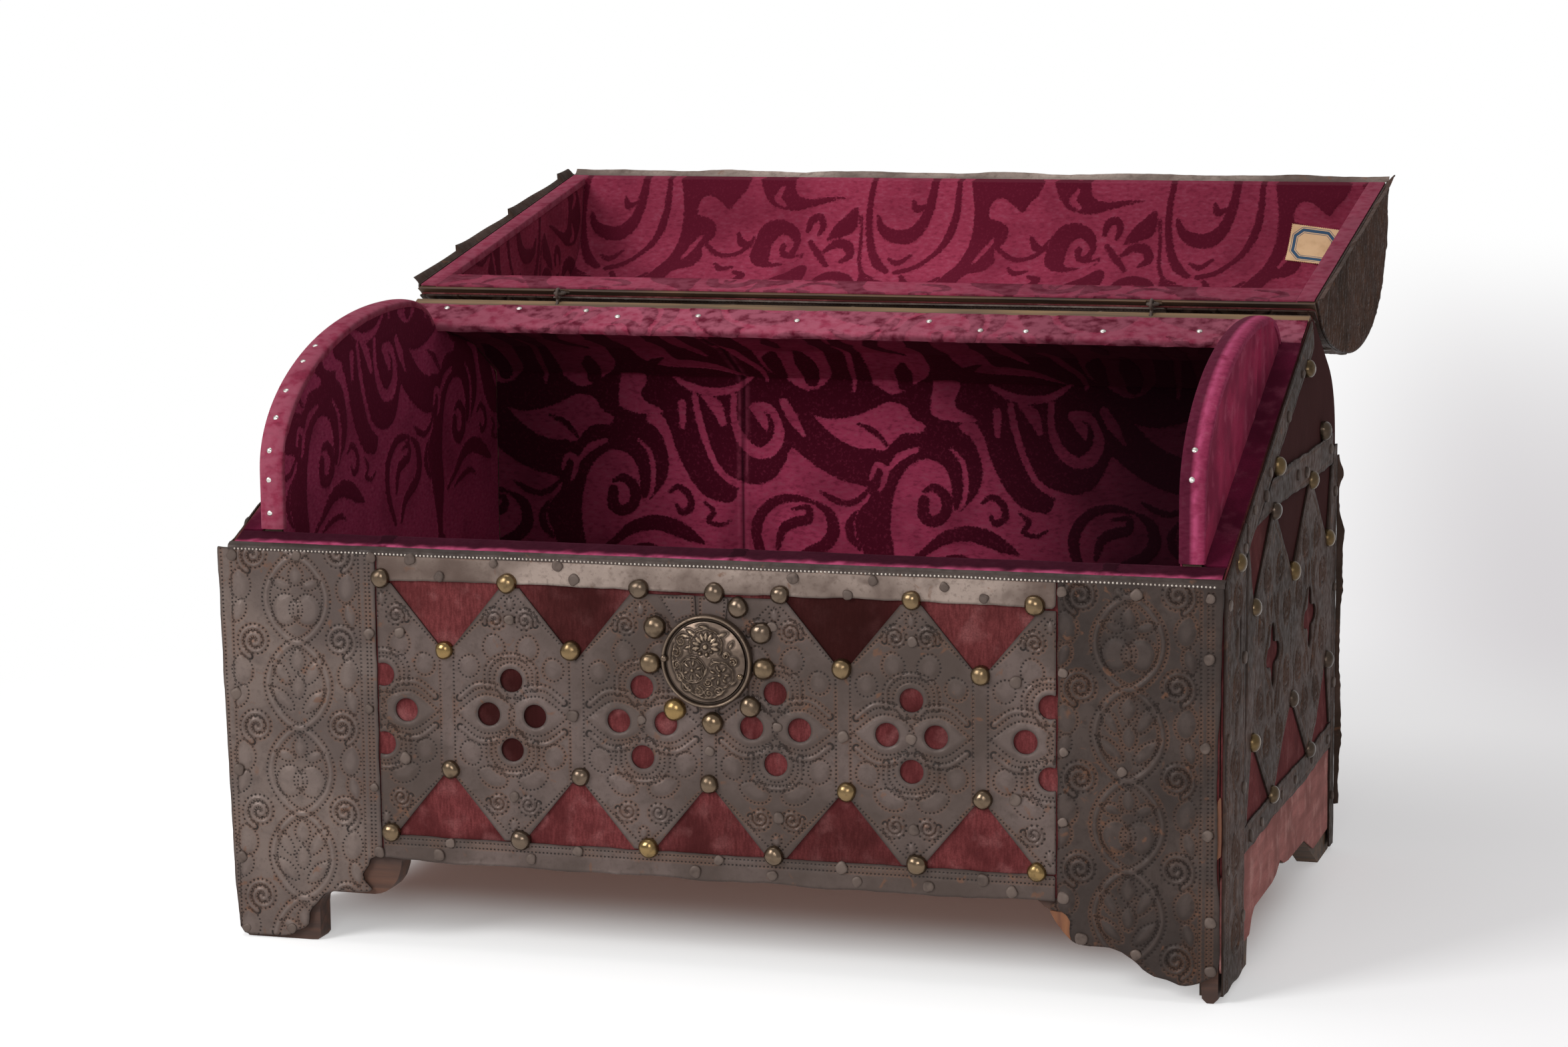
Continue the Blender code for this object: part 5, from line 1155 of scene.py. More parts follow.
def ringTube(name, rings, body, material, marks=None, **told):
    # closed tube through rings of points (n, m, 3), with its two ends filled
    n, m = rings.shape[:2]
    i = np.arange(n * m).reshape(n, m)
    j = np.roll(i, -1, 1)
    faces = [np.stack([i[:-1], j[:-1], j[1:], i[1:]], 2).reshape(-1, 4), i[:1, ::-1], i[-1:]]
    normal = np.cross(rings[1, 0] - rings[0, 0], rings[0, 1] - rings[0, 0])
    if np.dot(normal, rings[0, 0] - rings[0].mean(0)) > 0:
        faces = [f[:, ::-1] for f in faces]
    return makePiece(name, rings.reshape(-1, 3), faces, body, material, marks, **told)


def sweptStrip(name, path, normals, section, lay, body, material, marks=None, **told):
    # a closed section (across, lift) carried along a path of points and lifted along the path's normals
    lift = section[None, :, 1]
    first = path[:, None, 0] + normals[:, None, 0] * lift
    second = path[:, None, 1] + normals[:, None, 1] * lift
    across = np.broadcast_to(section[None, :, 0], first.shape)
    rings = lay(first.ravel(), second.ravel(), across.ravel()).reshape(*first.shape, 3)
    return ringTube(name, rings, body, material, marks, **told)


def plainMarks(count, edge):
    # iron without dots or ridges, all at one length from its cut edge
    none = np.zeros(count)
    return {"dotGap": none + 9, "dotRun": none, "rise": none, "edge": none + edge}


def raggedLip(name, root, out, down, flare, drop, thick, power, body, material, **told):
    # free edge of a sheet: from its root it leans out by flare and hangs by drop, which vary along it
    share = np.array([0.0, 0.35, 0.7, 1.0])
    lean = flare[:, None, None] * (share ** power)[None, :, None] * out
    inner = root[:, None] + lean + drop[:, None, None] * share[None, :, None] * down
    rings = np.concatenate([inner, inner[:, ::-1] + thick * np.asarray(out)], 1)
    return ringTube(name, rings, body, material, plainMarks(rings.shape[0] * rings.shape[1], 3.0), **told)


archTop = overSeam(offsetLine(tongueArch, 1.3), 0.6)
faceFront, faceBack = 15.9, 296.1
for side, hand in sides:
    tongue = "tongue_" + side.lower()
    faceOutline = np.vstack([[(faceFront, 56.6), (faceBack, 56.6)], offsetLine(innerBack, -1.5)[::-1][1:],
        archTop[::-1], [(faceFront, archTop[0, 1])]])
    piece = cutSheet("tongueLining" + side, faceOutline, [], onSide(hand, 23.3, 1.0), 1.6, lining["thick"],
        figuredFlat(wallFigure, -30, 100), "carcass", tongueDamask, replaced=("lining_" + side.lower(),),
        finish="lining")
    loopArea(faceOutline)
    outerOutline = np.vstack([archTop, [(y, seamHeight(y) - 0.2) for y in archTop[[-1, 0], 0]]])

    def folds(flat):
        # creases that fan out from a point above the crown and die away towards the edge
        turn = np.arctan2(flat[:, 0] - 150.0, 330.0 - flat[:, 1])
        ripple = np.sin(turn * 15 + 1.5 * np.sin(turn * 7)) + 0.5 * np.sin(turn * 37 + 1.0)
        return 0.36 * ripple * smooth(0, 30, seamHeight(flat[:, 0]) + 60 - flat[:, 1]) + 0.25, {}

    cutSheet("tongueOuter" + side, outerOutline, [], onSide(hand, 12.2), 1.5, lining["thick"], folds,
        "carcass", tongueVelvet, finish="lining", rests=[tongue])

    # strip folded over the arched edge: a flattened half round with legs down both faces
    half = np.linspace(0, math.pi, 17)
    bulge = 2.0 * np.sin(half) ** 0.7
    over = np.vstack([[(23.7, -2.6)], columns(17.75 + 6.0 * np.cos(half), bulge - 0.6), [(11.8, -2.6)]])
    inner = np.vstack([[(12.4, -2.6)], columns(17.75 - 5.4 * np.cos(half), bulge - 1.2), [(23.1, -2.6)]])
    section = np.vstack([over, inner])
    _, path, normals = alongLine(overSeam(offsetLine(tongueArch, 0.9), 0.5), 2.0)
    # rubbed all over on the left, in a line on the right, where its inner half is painted in shade to merge
    # with the dark inside behind it
    rubbed = np.where(section[:, 1] > -2.0, 0.6, 0.2) if hand > 0 else np.exp(-((section[:, 0]
        - 16.4) / 1.6) ** 2)
    rubbed = np.tile(rubbed, len(path))
    innerHalfShade = np.tile(0.0 * section[:, 0] if hand > 0 else 0.7 * smooth(17.0, 19.0, section[:, 0]), len(path))
    piece = sweptStrip("tongueEdge" + side, path, normals, section, onSide(hand, way=1.0), "carcass",
        lidDamask if hand > 0 else tongueDamask, {"figure": 0 * rubbed + 2.0, "worn": rubbed,
        "shade": innerHalfShade}, finish="lining")
    lineLength(path)
    lineLength(over)

    # ledge beside the tongue: turned up against it and lapped over the iron's edge
    ledge = np.array([(12.6, 3.2), (12.5, 1.2), (11.4, 0.5), (6.0, 0.35), (2.2, 0.3), (1.6, -0.6),
        (2.4, -0.6), (6.0, -0.5), (11.4, -0.4), (13.2, 0.8), (13.2, 3.2)])
    y = np.linspace(15.0, 209.0, 90)
    path = columns(y, seamHeight(y) - 0.9)
    normals = np.tile([(-math.sin(seamAngle), math.cos(seamAngle))], (len(y), 1))
    piece = sweptStrip("ledgeCover" + side, path, normals, ledge, onSide(hand, way=1.0), "carcass",
        ledgeShadedVelvet, finish="lining")
    lineLength(path)
    lineLength(ledge[:6])
print("tongues ready")

# lining of the lid

lidFace = overSeam(offsetLine(tongueArch, 3.9), 1.4)
lidFrontRim = overSeam(lidOutside, 1.4)[0]
lidLine = offsetLine(np.vstack([lidFrontRim, lidFace, [seamPoint(6.0, 1.4)]]), -0.8)
lidRun = lineLength(lidLine)


def lidWorn(a, b):
    return 0.3 * smooth(26.0, 14.0, b)


# read from the hinge, so that the figure's heights are lengths from it
lidField = figured(lidFigure, 0, 21, lidWorn, 0.1, fold="lidFold")


def lidRaised(a, b):
    # flat where it lies on the rims
    rise, marks = lidField(a, b)
    return rise * smooth(20, 30, b) * smooth(lidRun - 9, lidRun - 16, b), marks


profileCloth("lidLining", lidLine[::-1], (10.7, 469.3), lining["cell"], lining["thick"], lidRaised, "lid",
    lidDamask, turn=True, replaced=("lid_lining",), finish="lining", rests=["lid_shell", "lid_hinge_batten"])
endInside = overSeam(offsetLine(lidOutside, -6.3), 0.9)
rimPath = np.array([seamPoint(6.0, 1.15), lidFrontRim + (0.5, -0.15)])
rimSection = np.array([(10.9, 3.0), (10.9, -0.2), (10.4, -0.7), (5.0, -0.75), (1.6, -0.7), (1.6, 0.0),
    (5.0, 0.0), (10.2, 0.1), (10.2, 3.0)])
for side, hand in sides:
    small = side.lower()
    cutSheet("lidEndLining" + side, endInside, [], onSide(hand, 10.4, 1.0, True), 1.5, lining["thick"],
        figuredFlat(lidFigure, 70, -40, fold="lidFold"), "lid", lidDamask,
        replaced=("lid_end_lining_" + small,), finish="lining", rests=["lid_end_" + small])
    _, path, normals = alongLine(rimPath[::-1], 2.0)
    plain = np.ones(len(path) * len(rimSection))
    piece = sweptStrip("lidRimCover" + side, path, normals, rimSection, onSide(hand, 0.0, 1.0, True), "lid",
        lidDamask, {"figure": 2.0 * plain, "worn": 0.5 * plain}, finish="lining")
    lineLength(path)
    lineLength(rimSection[:5])
print("lid lining ready")


# ends, back and outside of the lid

ends = dict(cell=0.9, first=52.3, last=301.2, low=70.3, high=204.7, pitch=107.0, point=37.0, margin=4.0)


def endOrnament():
    # spirals in the points of a long lozenge, a collar round its cross, leaves at the sides
    out = []
    for hand in (-1, 1):
        for up in (-1, 1):
            out += [
                ("ridge", spiralLine(hand * 17, up * 38, 9, 2.2, 90 - hand * 100, hand * up), 1.3, 0.5),
                ("ridge", spiralLine(hand * 36, up * 17, 9, 2.2, 40 * hand, -hand * up), 1.3, 0.5),
                ("leaf", leafLoop(hand * 14, up * 22, 15, 9, 90 * up - hand * 30, 0.4), 2.6, 0.6),
                dotRow([(hand * 48.0, up * 31.0), (hand * 3.0, up * 62.0)])]
        out += [("ridge", curveThrough([(hand * 4, 27), (hand * 12, 12), (hand * 24, 0), (hand * 12, -12),
            (hand * 4, -27)]), 1.4, 0.5), dotRow([(hand * 49.5, -30.0), (hand * 49.5, 30.0)])]
    return out


def bulged(strokes, seed, bulge):
    # embossed sheet that stands off its board in broad swellings
    return embossed(strokes, 0.35, seed, lambda flat: bulge * (0.5 + 0.5 * hills(*flat.T, 90, seed + 1, 2)))


def endShade(flat):
    # painted darker high up, towards the back
    return 0.95 * smooth(115.0, 175.0, flat[:, 1]) * (0.3 + 0.7 * smooth(60.0, 150.0, flat[:, 0]))


toe = np.array([(boardIn, 14), (74, 14), (80, 21), (87, 24), (135, 24), (146, 26), (158, 30), (170, 26),
    (181, 24), (229, 24), (258, 13), (boardBack, 13)])
around = np.linspace(0, 2 * math.pi, 48, endpoint=False)
lobe = 0.74 + 0.26 * np.cos(4 * around)
crossLoop = columns(19.0 * lobe * np.cos(around), 15.5 * lobe * np.sin(around))
endCentre = (ends["first"] + ends["last"]) / 2
endMiddle = (ends["low"] + ends["high"]) / 2
slits = [np.array([(36, 150), (38, 151), (39.5, 166), (38, 181), (36.5, 165)]),
    np.array([(3, 92), (4.5, 93), (5, 112), (3.6, 122), (2.8, 108)])]
first, last, low, high = (ends[k] for k in ("first", "last", "low", "high"))
for side, hand in sides:
    small, lay, seed = side.lower(), onSide(hand), 35 - 5 * hand
    outline = np.array([(1.2, 12), (1.4, 3.4), (12, 2.4), (24, 3.6), (38, 2.2), (51.6, 3.2), (51.8, 60),
        (52, 120), (51.7, seamHeight(52.0) - 0.6), (1.2, seamHeight(1.2) - 0.6)])
    ridges = [dotRow([(x, 2.0), (x + 0.5, 100.0), (x, 205.0)]) for x in (6, 10, 46)]
    for k in range(5):
        ridges += [("ridge", spiralLine(28, 26 + 38 * k, 11, 2.4, 90 + 40 * k, 1 if k % 2 else -1), 1.4, 0.5),
            ("leaf", leafLoop(28, 46 + 38 * k, 16, 9, 90, 0.5), 2.6, 0.6)]
    ironSheet("endFrontStrip" + side, ragged(outline, 1.0, seed), slits, lay, ends["cell"],
        bulged(ridges, seed, 0.8), "carcass", endIron, "end_front_strip_" + small)
    outline = [(y, seamHeight(y) - below) for y, below in ((first, 0.6), (first, 17.6), (100, 18.6),
        (150, 17.2))]
    outline = np.array(outline + [seamPoint(6, -16.4), seamPoint(6, -0.5)])
    rows = [dotRow([(y, seamHeight(y) - k) for y in (52, 232)]) for k in (4, 14)]
    ironSheet("endDiagonal" + side, ragged(outline, 1.0, seed + 1), [], lay, ends["cell"],
        bulged(rows, seed + 3, 0.5), "carcass", endIron, "end_diagonal_strip_" + small)
    # the upper band ends against the strip along the seam
    for name, foot, head, start, slant, node in (("endUpperBand", 205.0, 222.0, 79.5, 40, "end_upper_band_"),
            ("endLowerBand", 56.0, 70.0, first, 0, "end_lower_band_")):
        outline = np.array([(start, foot), (150, foot + 0.7), (220, foot - 0.5), (last, foot), (last, head),
            (240, head - 0.6), (180, head + 0.5), (start + slant, head)])
        rows = [dotRow([(52, z), (302, z)]) for z in (foot + 2.5, head - 2.5)]
        ironSheet(name + side, ragged(outline, 1.4, seed + 2), [], lay, ends["cell"],
            bulged(rows, seed + 5, 0.6), "carcass", endIron, node + small)
    outline = np.array([(first, low), (last, low), (last, high), (80.6, high),
        (first, seamHeight(first) - 18)])
    openings, strokes = [], []
    margin, half = ends["margin"], ends["pitch"] / 2 - ends["margin"]
    for k in (-1, 0, 1):
        centre = endCentre + k * ends["pitch"]
        left, right = max(centre - half, first + margin), min(centre + half, last - margin)
        openings.append(np.array([(left, high + 1), (centre, high - ends["point"]), (right, high + 1)]))
        openings.append(np.array([(left, low - 1), (right, low - 1), (centre, low + ends["point"])]))
    for k in (-0.5, 0.5):
        centre = endCentre + k * ends["pitch"]
        strokes += moved(endOrnament(), centre, endMiddle)
        openings.append(crossLoop + (centre, endMiddle))
    ironSheet("endLozenges" + side, outline, openings, lay, ends["cell"], bulged(strokes, seed + 7, 0.9),
        "carcass", endIron, "end_lozenge_sheet_" + small)

    clothTop = np.vstack([[(boardIn, 58), (boardBack, 58), (boardBack, 212)], backOutside[1:] - (0.3, 0.4),
        [seamPoint(6.5, -1.0), (boardIn, seamHeight(boardIn) - 1.0)]])
    flatCloth("endVelvet" + side, clothTop, lay, 2.5, 0.05, outerVelvet, ("end_velvet_" + small,),
        ["end_board_" + small], 3, endShade)
    clothLow = np.vstack([columns(toe[:, 0], toe[:, 1] + 0.9 * hills(*toe.T, 20, 4)),
        [(boardBack, 57.6), (boardIn, 57.6)]])
    flatCloth("endSkirtCloth" + side, clothLow, lay, 2.0, 0.25, endFabric, (), ["end_board_" + small], 5)
print("ends ready")

backLine = np.vstack([[(313.9, 43.0)], backOutside + (0.3, 0.2)])[::-1]
profileCloth("backVelvet", backLine, boardSpan, 3.0, 0.8, lambda a, b: (0.9 + 0.06 * hills(a, b, 30, 6), {}),
    "carcass", outerVelvet, replaced=("back_velvet",), finish="velvet",
    rests=["back_board", "rear_slope_board"])


def onBackCorner(hand):
    # round the corner: negative lengths lie on the end, positive ones on the back
    def lay(a, b, high):
        radius = 1.2
        onEnd, onRear = a < -radius, a > radius
        turn = np.clip((a + radius) / (2 * radius), 0, 1) * math.pi / 2
        x = np.where(onEnd, 0.0, np.where(onRear, a, radius - radius * np.cos(turn))) - high * np.cos(turn)
        y = coffer["deep"] + np.where(onEnd, a, np.where(onRear, 0.0,
            -radius + radius * np.sin(turn))) + high * np.sin(turn)
        return columns(x if hand > 0 else coffer["wide"] - x, y, b)
    return lay


cornerOutline = np.array([(-14.5, 3), (-4, 2), (8, 2.8), (22, 2.2), (22, 214), (-14.5, 214)])
cornerRows = [dotRow([(x, 2.0), (x, 214.0)]) for x in (-11.5, 4, 18.5)]
cornerRows += [("ridge", spiralLine(11.2, 20 + 24 * k, 5.5, 1.9, 90, 1 if k % 2 else -1), 1.0, 0.4)
    for k in range(8)]
for side, hand in sides:
    ironSheet("backCorner" + side, ragged(cornerOutline, 1.0, 50), [], onBackCorner(hand), 1.0,
        embossed(cornerRows, 0.25, 51), "carcass", endIron, "back_corner_strip_" + side.lower())
for name, low, high, node in (("backUpperBand", 197.0, 214.0, "back_upper_band"),
        ("backLowerBand", 56.0, 70.0, "back_lower_band")):
    outline = np.array([(22.3, low), (160, low + 0.6), (330, low - 0.5), (457.7, low), (457.7, high),
        (300, high - 0.5), (140, high + 0.4), (22.3, high)])
    rows = [dotRow([(22, z), (458, z)]) for z in (low + 2.5, high - 2.5)]
    ironSheet(name, ragged(outline, 1.0, 54), [], onBack, 1.1, embossed(rows, 0.35, 53), "carcass", endIron,
        node)


def alongProfile(line, lift):
    # flat sheet bent over a yz line: the second length runs along it, the height along its normal
    at, p, n = alongLine(line, 0.8)

    def lay(a, b, high):
        y, z = np.interp(b, at, p[:, 0]), np.interp(b, at, p[:, 1])
        ny, nz = np.interp(b, at, n[:, 0]), np.interp(b, at, n[:, 1])
        return columns(a, y + ny * (high + lift), z + nz * (high + lift))
    return lay, at[-1]


edgeWay = np.array([hingeEdge - 22 * backWay, hingeEdge - 6 * backWay])
laySlope, run = alongProfile(edgeWay[::-1], -boardIn)
outline = np.array([(boardLeft, 0.3), (240, 0.6), (boardRight, 0.3), (boardRight, run - 0.3), (240, run),
    (boardLeft, run - 0.3)])
ironSheet("slopeEdgeBand", outline, [], lambda a, b, high: laySlope(a, b, -high), 1.1,
    embossed([dotRow([(2, 3), (478, 3)])], 0.3, 57), "carcass", endIron, "slope_edge_band")

layLid, lidLong = alongProfile(lidCover, boardIn)


def onLid(a, b, high):
    return laidOpen(layLid(a, b, high))


inset = 0.6
clothEdge = np.array([(1.4, inset), (478.6, inset), (478.6, lidLong - inset), (1.4, lidLong - inset)])
piece = cutSheet("lidVelvet", clothEdge, [], under(onLid, 1.1), 2.6, 0.8,
    lambda flat: (0.05 * hills(*flat.T, 30, 9), {}), "lid", outerVelvet, replaced=("lid_velvet",),
    finish="velvet")
lidStrokes = moved(stripOrnament(), 2.0, 4.0) + moved(stripOrnament(), 2.0, 170.0)
outline = np.array([(1.2, 0.4), (75.9, 0.4), (75.7, lidLong / 2), (75.9, lidLong - 0.4),
    (1.2, lidLong - 0.4)])
for name, loop, strokes, node in (("lidStripLeft", outline, lidStrokes, "lid_strip_left"),
        ("lidStripRight", outline * (-1, 1) + (coffer["wide"], 0), moved(lidStrokes, coffer["wide"], 0, True),
        "lid_strip_right")):
    ironSheet(name, loop, [], onLid, 0.95, embossed(strokes, 0.2, 61), "lid", endIron, node)
left, right = plate["left"], plate["right"]
for name, low, high, node in (("lidFrontBand", 0.3, 14.0, "lid_front_band"),
        ("lidRearBand", lidLong - 14, lidLong - 0.3, "lid_rear_band")):
    outline = np.array([(left, low), (240, low + 0.3), (right, low), (right, high), (240, high - 0.4),
        (left, high)])
    rows = [dotRow([(76, z), (404, z)]) for z in (low + 2.2, high - 2.2)]
    ironSheet(name, outline, [], onLid, 1.0, embossed(rows, 0.3, 63), "lid", bandIron, node)
lidLow, lidHigh = 14.3, lidLong - 14.3
lidMiddle = (lidLow + lidHigh) / 2
lidOpenings = triangleLoops(lidLow, lidHigh)
lidPlates = []
for centre in plateCentres:
    for k in (-1, 0, 1):
        lidPlates += moved(lozengeOrnament(), centre, lidMiddle + k * 74)
    lidOpenings += plateHoles(centre, lidMiddle)
for name, first, last in (("lidLozengesLeft", left, 239.9), ("lidLozengesRight", 240.1, right)):
    outline = np.array([(first, lidLow), (last, lidLow), (last, lidHigh), (first, lidHigh)])
    ironSheet(name, outline, lidOpenings, onLid, 0.95, embossed(lidPlates, 0.2, 67), "lid", endIron,
        "lid_lozenge_sheet")

endEdge = overSeam(offsetLine(lidOutside, boardIn), 0.4)
lidEndOutline = np.vstack([endEdge[endEdge[:, 0] < 230], [seamPoint(6, boardIn), seamPoint(6, 0.4)]])
# wavy strokes side by side, from the seam up
up, grain = np.linspace(0, 110, 40), []
for k in range(44):
    y = 4 + 5.4 * k + 1.8 * np.sin(up / 9 + 2.1 * k) + 1.2 * np.sin(up / 4.3 + k)
    grain.append(("ridge", columns(y, seamHeight(y) + up), 1.5, 0.6))
for side, hand in sides:
    ironSheet("lidEndSheet" + side, lidEndOutline, [], onSide(hand, lid=True), 1.0, embossed(grain, 0.3, 71),
        "lid", endIron, "lid_end_sheet_" + side.lower())
print("outside of the lid ready")

# free edges of the iron, and the label

x = np.linspace(0.4, 479.6, 420)
uneven = hills(x, 0 * x, 60, 81, 4)
lipLine = np.array([(-0.1, 188.8), (0.1, 190.9), (0.9, seamHeight(0.9) + 0.2), (2.9, seamHeight(2.9) + 0.15)])
profileCloth("frontLip", lipLine, (0.4, 479.6), 1.2, 0.5,
    lambda a, b: (0.12 * hills(a, b, 25, 83) + 0.1, plainMarks(len(a), 2.0)), "carcass", shadedIron,
    finish="iron")
root = laidOpen(columns(x, 1.9, seamHeight(1.9) + 1.4))
aside = np.array([1.0, 0.0, 0.0])
origin, ahead, below = laidOpen([(0, 0, 0), (0, -1, 0), (0, 0, -1)])
ahead, below = ahead - origin, below - origin
raggedLip("lidFrontLip", root, ahead, below, 4.3 + 0.3 * uneven, 4.0 + 0.7 * uneven, 0.6, 0.5, "lid",
    bandIron, finish="iron")
y = np.linspace(3.0, 229.0, 220)
for side, hand in (("Left", -1.0), ("Right", 1.0)):
    # long flakes, each rising to a torn point
    flake = np.mod(y + 20 * hand, 76.0) / 76.0
    tall = np.clip(2.6 + 0.8 * hills(y, 0 * y + hand, 70, 85, 2) + 3.0 * flake ** 4, 0.8, 6.0)
    if hand > 0:
        tall = 0.5 * tall + 4.0 * np.exp(-((y - 7) / 5.0) ** 2)
    root = laidOpen(columns(240 + hand * 239.4, y, seamHeight(y) + 1.2))
    raggedLip("lidEndLip" + side, root, hand * aside, below, 2.4 + 0.3 * tall, tall, 0.6, 1.4, "lid", endIron,
        finish="iron")
z = np.linspace(24.0, 208.0, 200)
for side, hand in (("Left", -1.0), ("Right", 1.0)):
    # torn edge of the rear corner strip
    tear = np.clip(2.0 + 1.8 * hills(z, 0 * z + hand, 40, 87, 4), 0.4,
        5.0) * (0.1 + 0.9 * smooth(208.0, 196.0, z))
    root = columns(240 + hand * 240.3, 312.6, z)
    raggedLip("backTear" + side, root, hand * aside, np.array([0.0, 1.0, 0.0]), tear, 1.2 + 0.4 * tear, 0.6,
        1.0, "carcass", endIron, finish="iron")
beadProfile = [(1.0, -0.5), (1.0, 0.1), (0.7, 0.5), (0.0, 0.65)]
beadX = np.arange(4.0, 477.0, 1.9)
beadSpots = columns(beadX, -0.15, 189.5 + 0.25 * hills(beadX, 0 * beadX, 70, 89))
lathedStuds("frontBeads", beadSpots, np.tile([(0.0, -1.0, 0.0)], (len(beadX), 1)), np.full(len(beadX), 0.55),
    hills(beadX, 0 * beadX, 30, 91) > -0.2, beadProfile, 6, 0.05, "carcass", foldIron, finish="iron")

label = dict(x=441.5, along=247.0, wide=28.0, tall=22.0, turn=-7.0, tooth=1.2)
layVault, _ = alongProfile(lidLine[::-1], 1.0)
halfWide, halfTall = label["wide"] / 2, label["tall"] / 2
toothX, toothY = (np.arange(0, label[k], label["tooth"] / 2) for k in ("wide", "tall"))
zigX, zigY = (0.45 * (np.arange(len(t)) % 2) for t in (toothX, toothY))
labelEdge = np.vstack([columns(toothX - halfWide, zigX - halfTall),
    columns(halfWide - zigY, toothY - halfTall), columns(halfWide - toothX, halfTall - zigX),
    columns(zigY - halfWide, halfTall - toothY)])
octagon = np.array([(-7, -8.2), (7, -8.2), (11, -4.4), (11, 4.4), (7, 8.2), (-7, 8.2), (-11, 4.4),
    (-11, -4.4)])
labelLoop, border = (turnedTo(loop, label["x"], label["along"], label["turn"])
    for loop in (labelEdge, octagon))
cutSheet("paperLabel", labelLoop, [], lambda a, b, high: laidOpen(layVault(a, b, high)), 0.3, 0.5,
    lambda flat: (0.0 * flat[:, 0], {"ink": np.abs(edgeDepth(flat, border))}), "lid", labelPaper,
    backStep=3.0)
print("free edges ready")

# nails and boss

domeProfile = [(1.0, -0.25), (1.0, 0.04), (0.97, 0.22), (0.88, 0.42), (0.72, 0.58), (0.5, 0.70), (0.25, 0.77),
    (0.0, 0.79)]
flatProfile = [(0.9, -0.3), (1.0, 0.0), (0.98, 0.16), (0.85, 0.28), (0.5, 0.34), (0.0, 0.33)]
domeSpots = [(78.5, 178), (142, 178), (207, 178), (275, 178), (337, 178), (394, 178), (110, 145),
    (173, 147.5), (304, 145), (369, 145), (112, 88), (177, 88), (240, 88), (306, 88), (370, 88), (81, 56),
    (146.5, 56), (210, 56), (271, 56), (339, 56), (395, 56)]
ringSpots = [(243.7, 177.7), (254.9, 171.3), (214.7, 160.6), (265.9, 160.0), (212.2, 143.6), (267.0, 143.4),
    (223.9, 122.3), (260.4, 125.3), (242.0, 116.9)]
flatSpots = [(2.6, 186.2), (35.9, 187.1), (74.0, 187.6), (72.1, 151.2), (2.8, 119.3), (71.1, 114.9),
    (2.8, 82.1), (72.8, 77.2), (3.2, 39.2), (74.6, 46.0), (4.6, 4.4), (28.2, 5.6), (93.7, 187.6),
    (135.6, 187.2), (167.3, 187.2), (175.4, 181.1), (108.3, 179.9), (281.3, 185.9), (319.1, 186.2),
    (352.4, 184.7), (307.2, 179.3), (370.7, 180.2), (111.0, 52.4), (105.1, 46.4), (151.6, 47.3),
    (175.0, 52.4), (244.3, 52.4), (232.8, 46.3), (270.1, 46.7), (303.4, 52.4), (310.7, 46.4), (344.5, 46.2),
    (370.1, 50.8), (383.5, 46.2), (87.7, 152.5), (143.0, 160.9), (89.2, 92.3), (143.8, 76.7), (173.6, 116.8),
    (207.5, 116.6), (271.2, 163.0), (337.4, 159.1), (385.4, 142.7), (273.3, 116.5), (304.5, 113.7),
    (336.6, 114.2), (273.5, 74.0), (337.7, 72.1), (385.1, 88.8), (240.5, 103.5), (406.4, 184.7),
    (407.0, 148.0), (407.4, 112.0), (407.0, 79.8), (407.3, 45.0), (440.3, 184.7), (473.5, 184.2),
    (473.1, 157.0), (471.6, 117.0), (472.8, 77.4), (474.3, 37.8), (434.0, 104.3), (415.6, 26.6),
    (440.7, 21.0), (474.6, 15.5)]
endDomes = [(216, 263), (268, 226), (132, 226), (230, 206), (123, 206), (30, 196), (283.8, 169), (176.8, 169),
    (69.8, 169), (283.8, 106), (176.8, 106), (69.8, 106), (123, 70), (230, 70)]
endFlats = [(8, 180), (8, 120), (8, 60), (46, 200), (46, 150), (46, 90), (46, 30), (70, 214), (100, 216),
    (190, 214), (215, 212), (290, 214), (66, 63), (95, 63), (150, 64), (190, 63), (240, 63), (290, 63),
    (110, 226), (160, 246), (200, 262), (306, 190), (306, 140), (306, 90), (306, 30)]


def nailsOn(lay, spots, lift=0.1):
    # places on a face, and the way that its height runs at each
    a, b = np.array(spots, float).T
    base = lay(a, b, np.full(len(a), lift))
    out = lay(a, b, np.full(len(a), lift + 1.0)) - base
    return base, out / np.linalg.norm(out, axis=1)[:, None]


def driveNails(name, placed, kind, rough, body, metal, greyer=False):
    # sizes and tones are drawn by chance; greyer leaves only a few golden
    spots, normals = (np.vstack(part) for part in zip(*placed))
    sizes = kind["size"] * chance.uniform(*kind["spread"], len(spots))
    tones = chance.uniform(0, 1, len(spots))
    lathedStuds(name, spots, normals, sizes, 1 - tones ** 1.4 if greyer else tones, kind["profile"],
        kind["sectors"], rough, body, metal, finish=kind["finish"])


onLeft, onRight = onSide(1), onSide(-1)
domes = dict(size=4.65, spread=(0.94, 1.06), profile=domeProfile, sectors=26, finish="bronze")
flats = dict(size=2.5, spread=(0.85, 1.2), profile=flatProfile, sectors=16, finish="iron")
driveNails("domeNails", [nailsOn(onFront, domeSpots)], domes, 0.04, "carcass", domeBrass, True)
driveNails("endDomeNails", [nailsOn(lay, endDomes, 0.5) for lay in (onRight, onLeft)], domes, 0.04, "carcass",
    endBrass, True)
spots, normals = nailsOn(onFront, ringSpots)
lathedStuds("ringNails", spots, normals, 5.2 * chance.uniform(0.95, 1.05, len(spots)),
    [1.0, 1.0, 0.9, 1.0, 0.8, 0.8, 0.1, 0.9, 0.8], domeProfile, 28, 0.03, "carcass", domeBrass,
    finish="bronze")
backFlats = [(x, z) for x in (8, 472) for z in (30, 80, 130, 180)]
backFlats += [(x, z) for x in range(60, 440, 60) for z in (63, 205)]
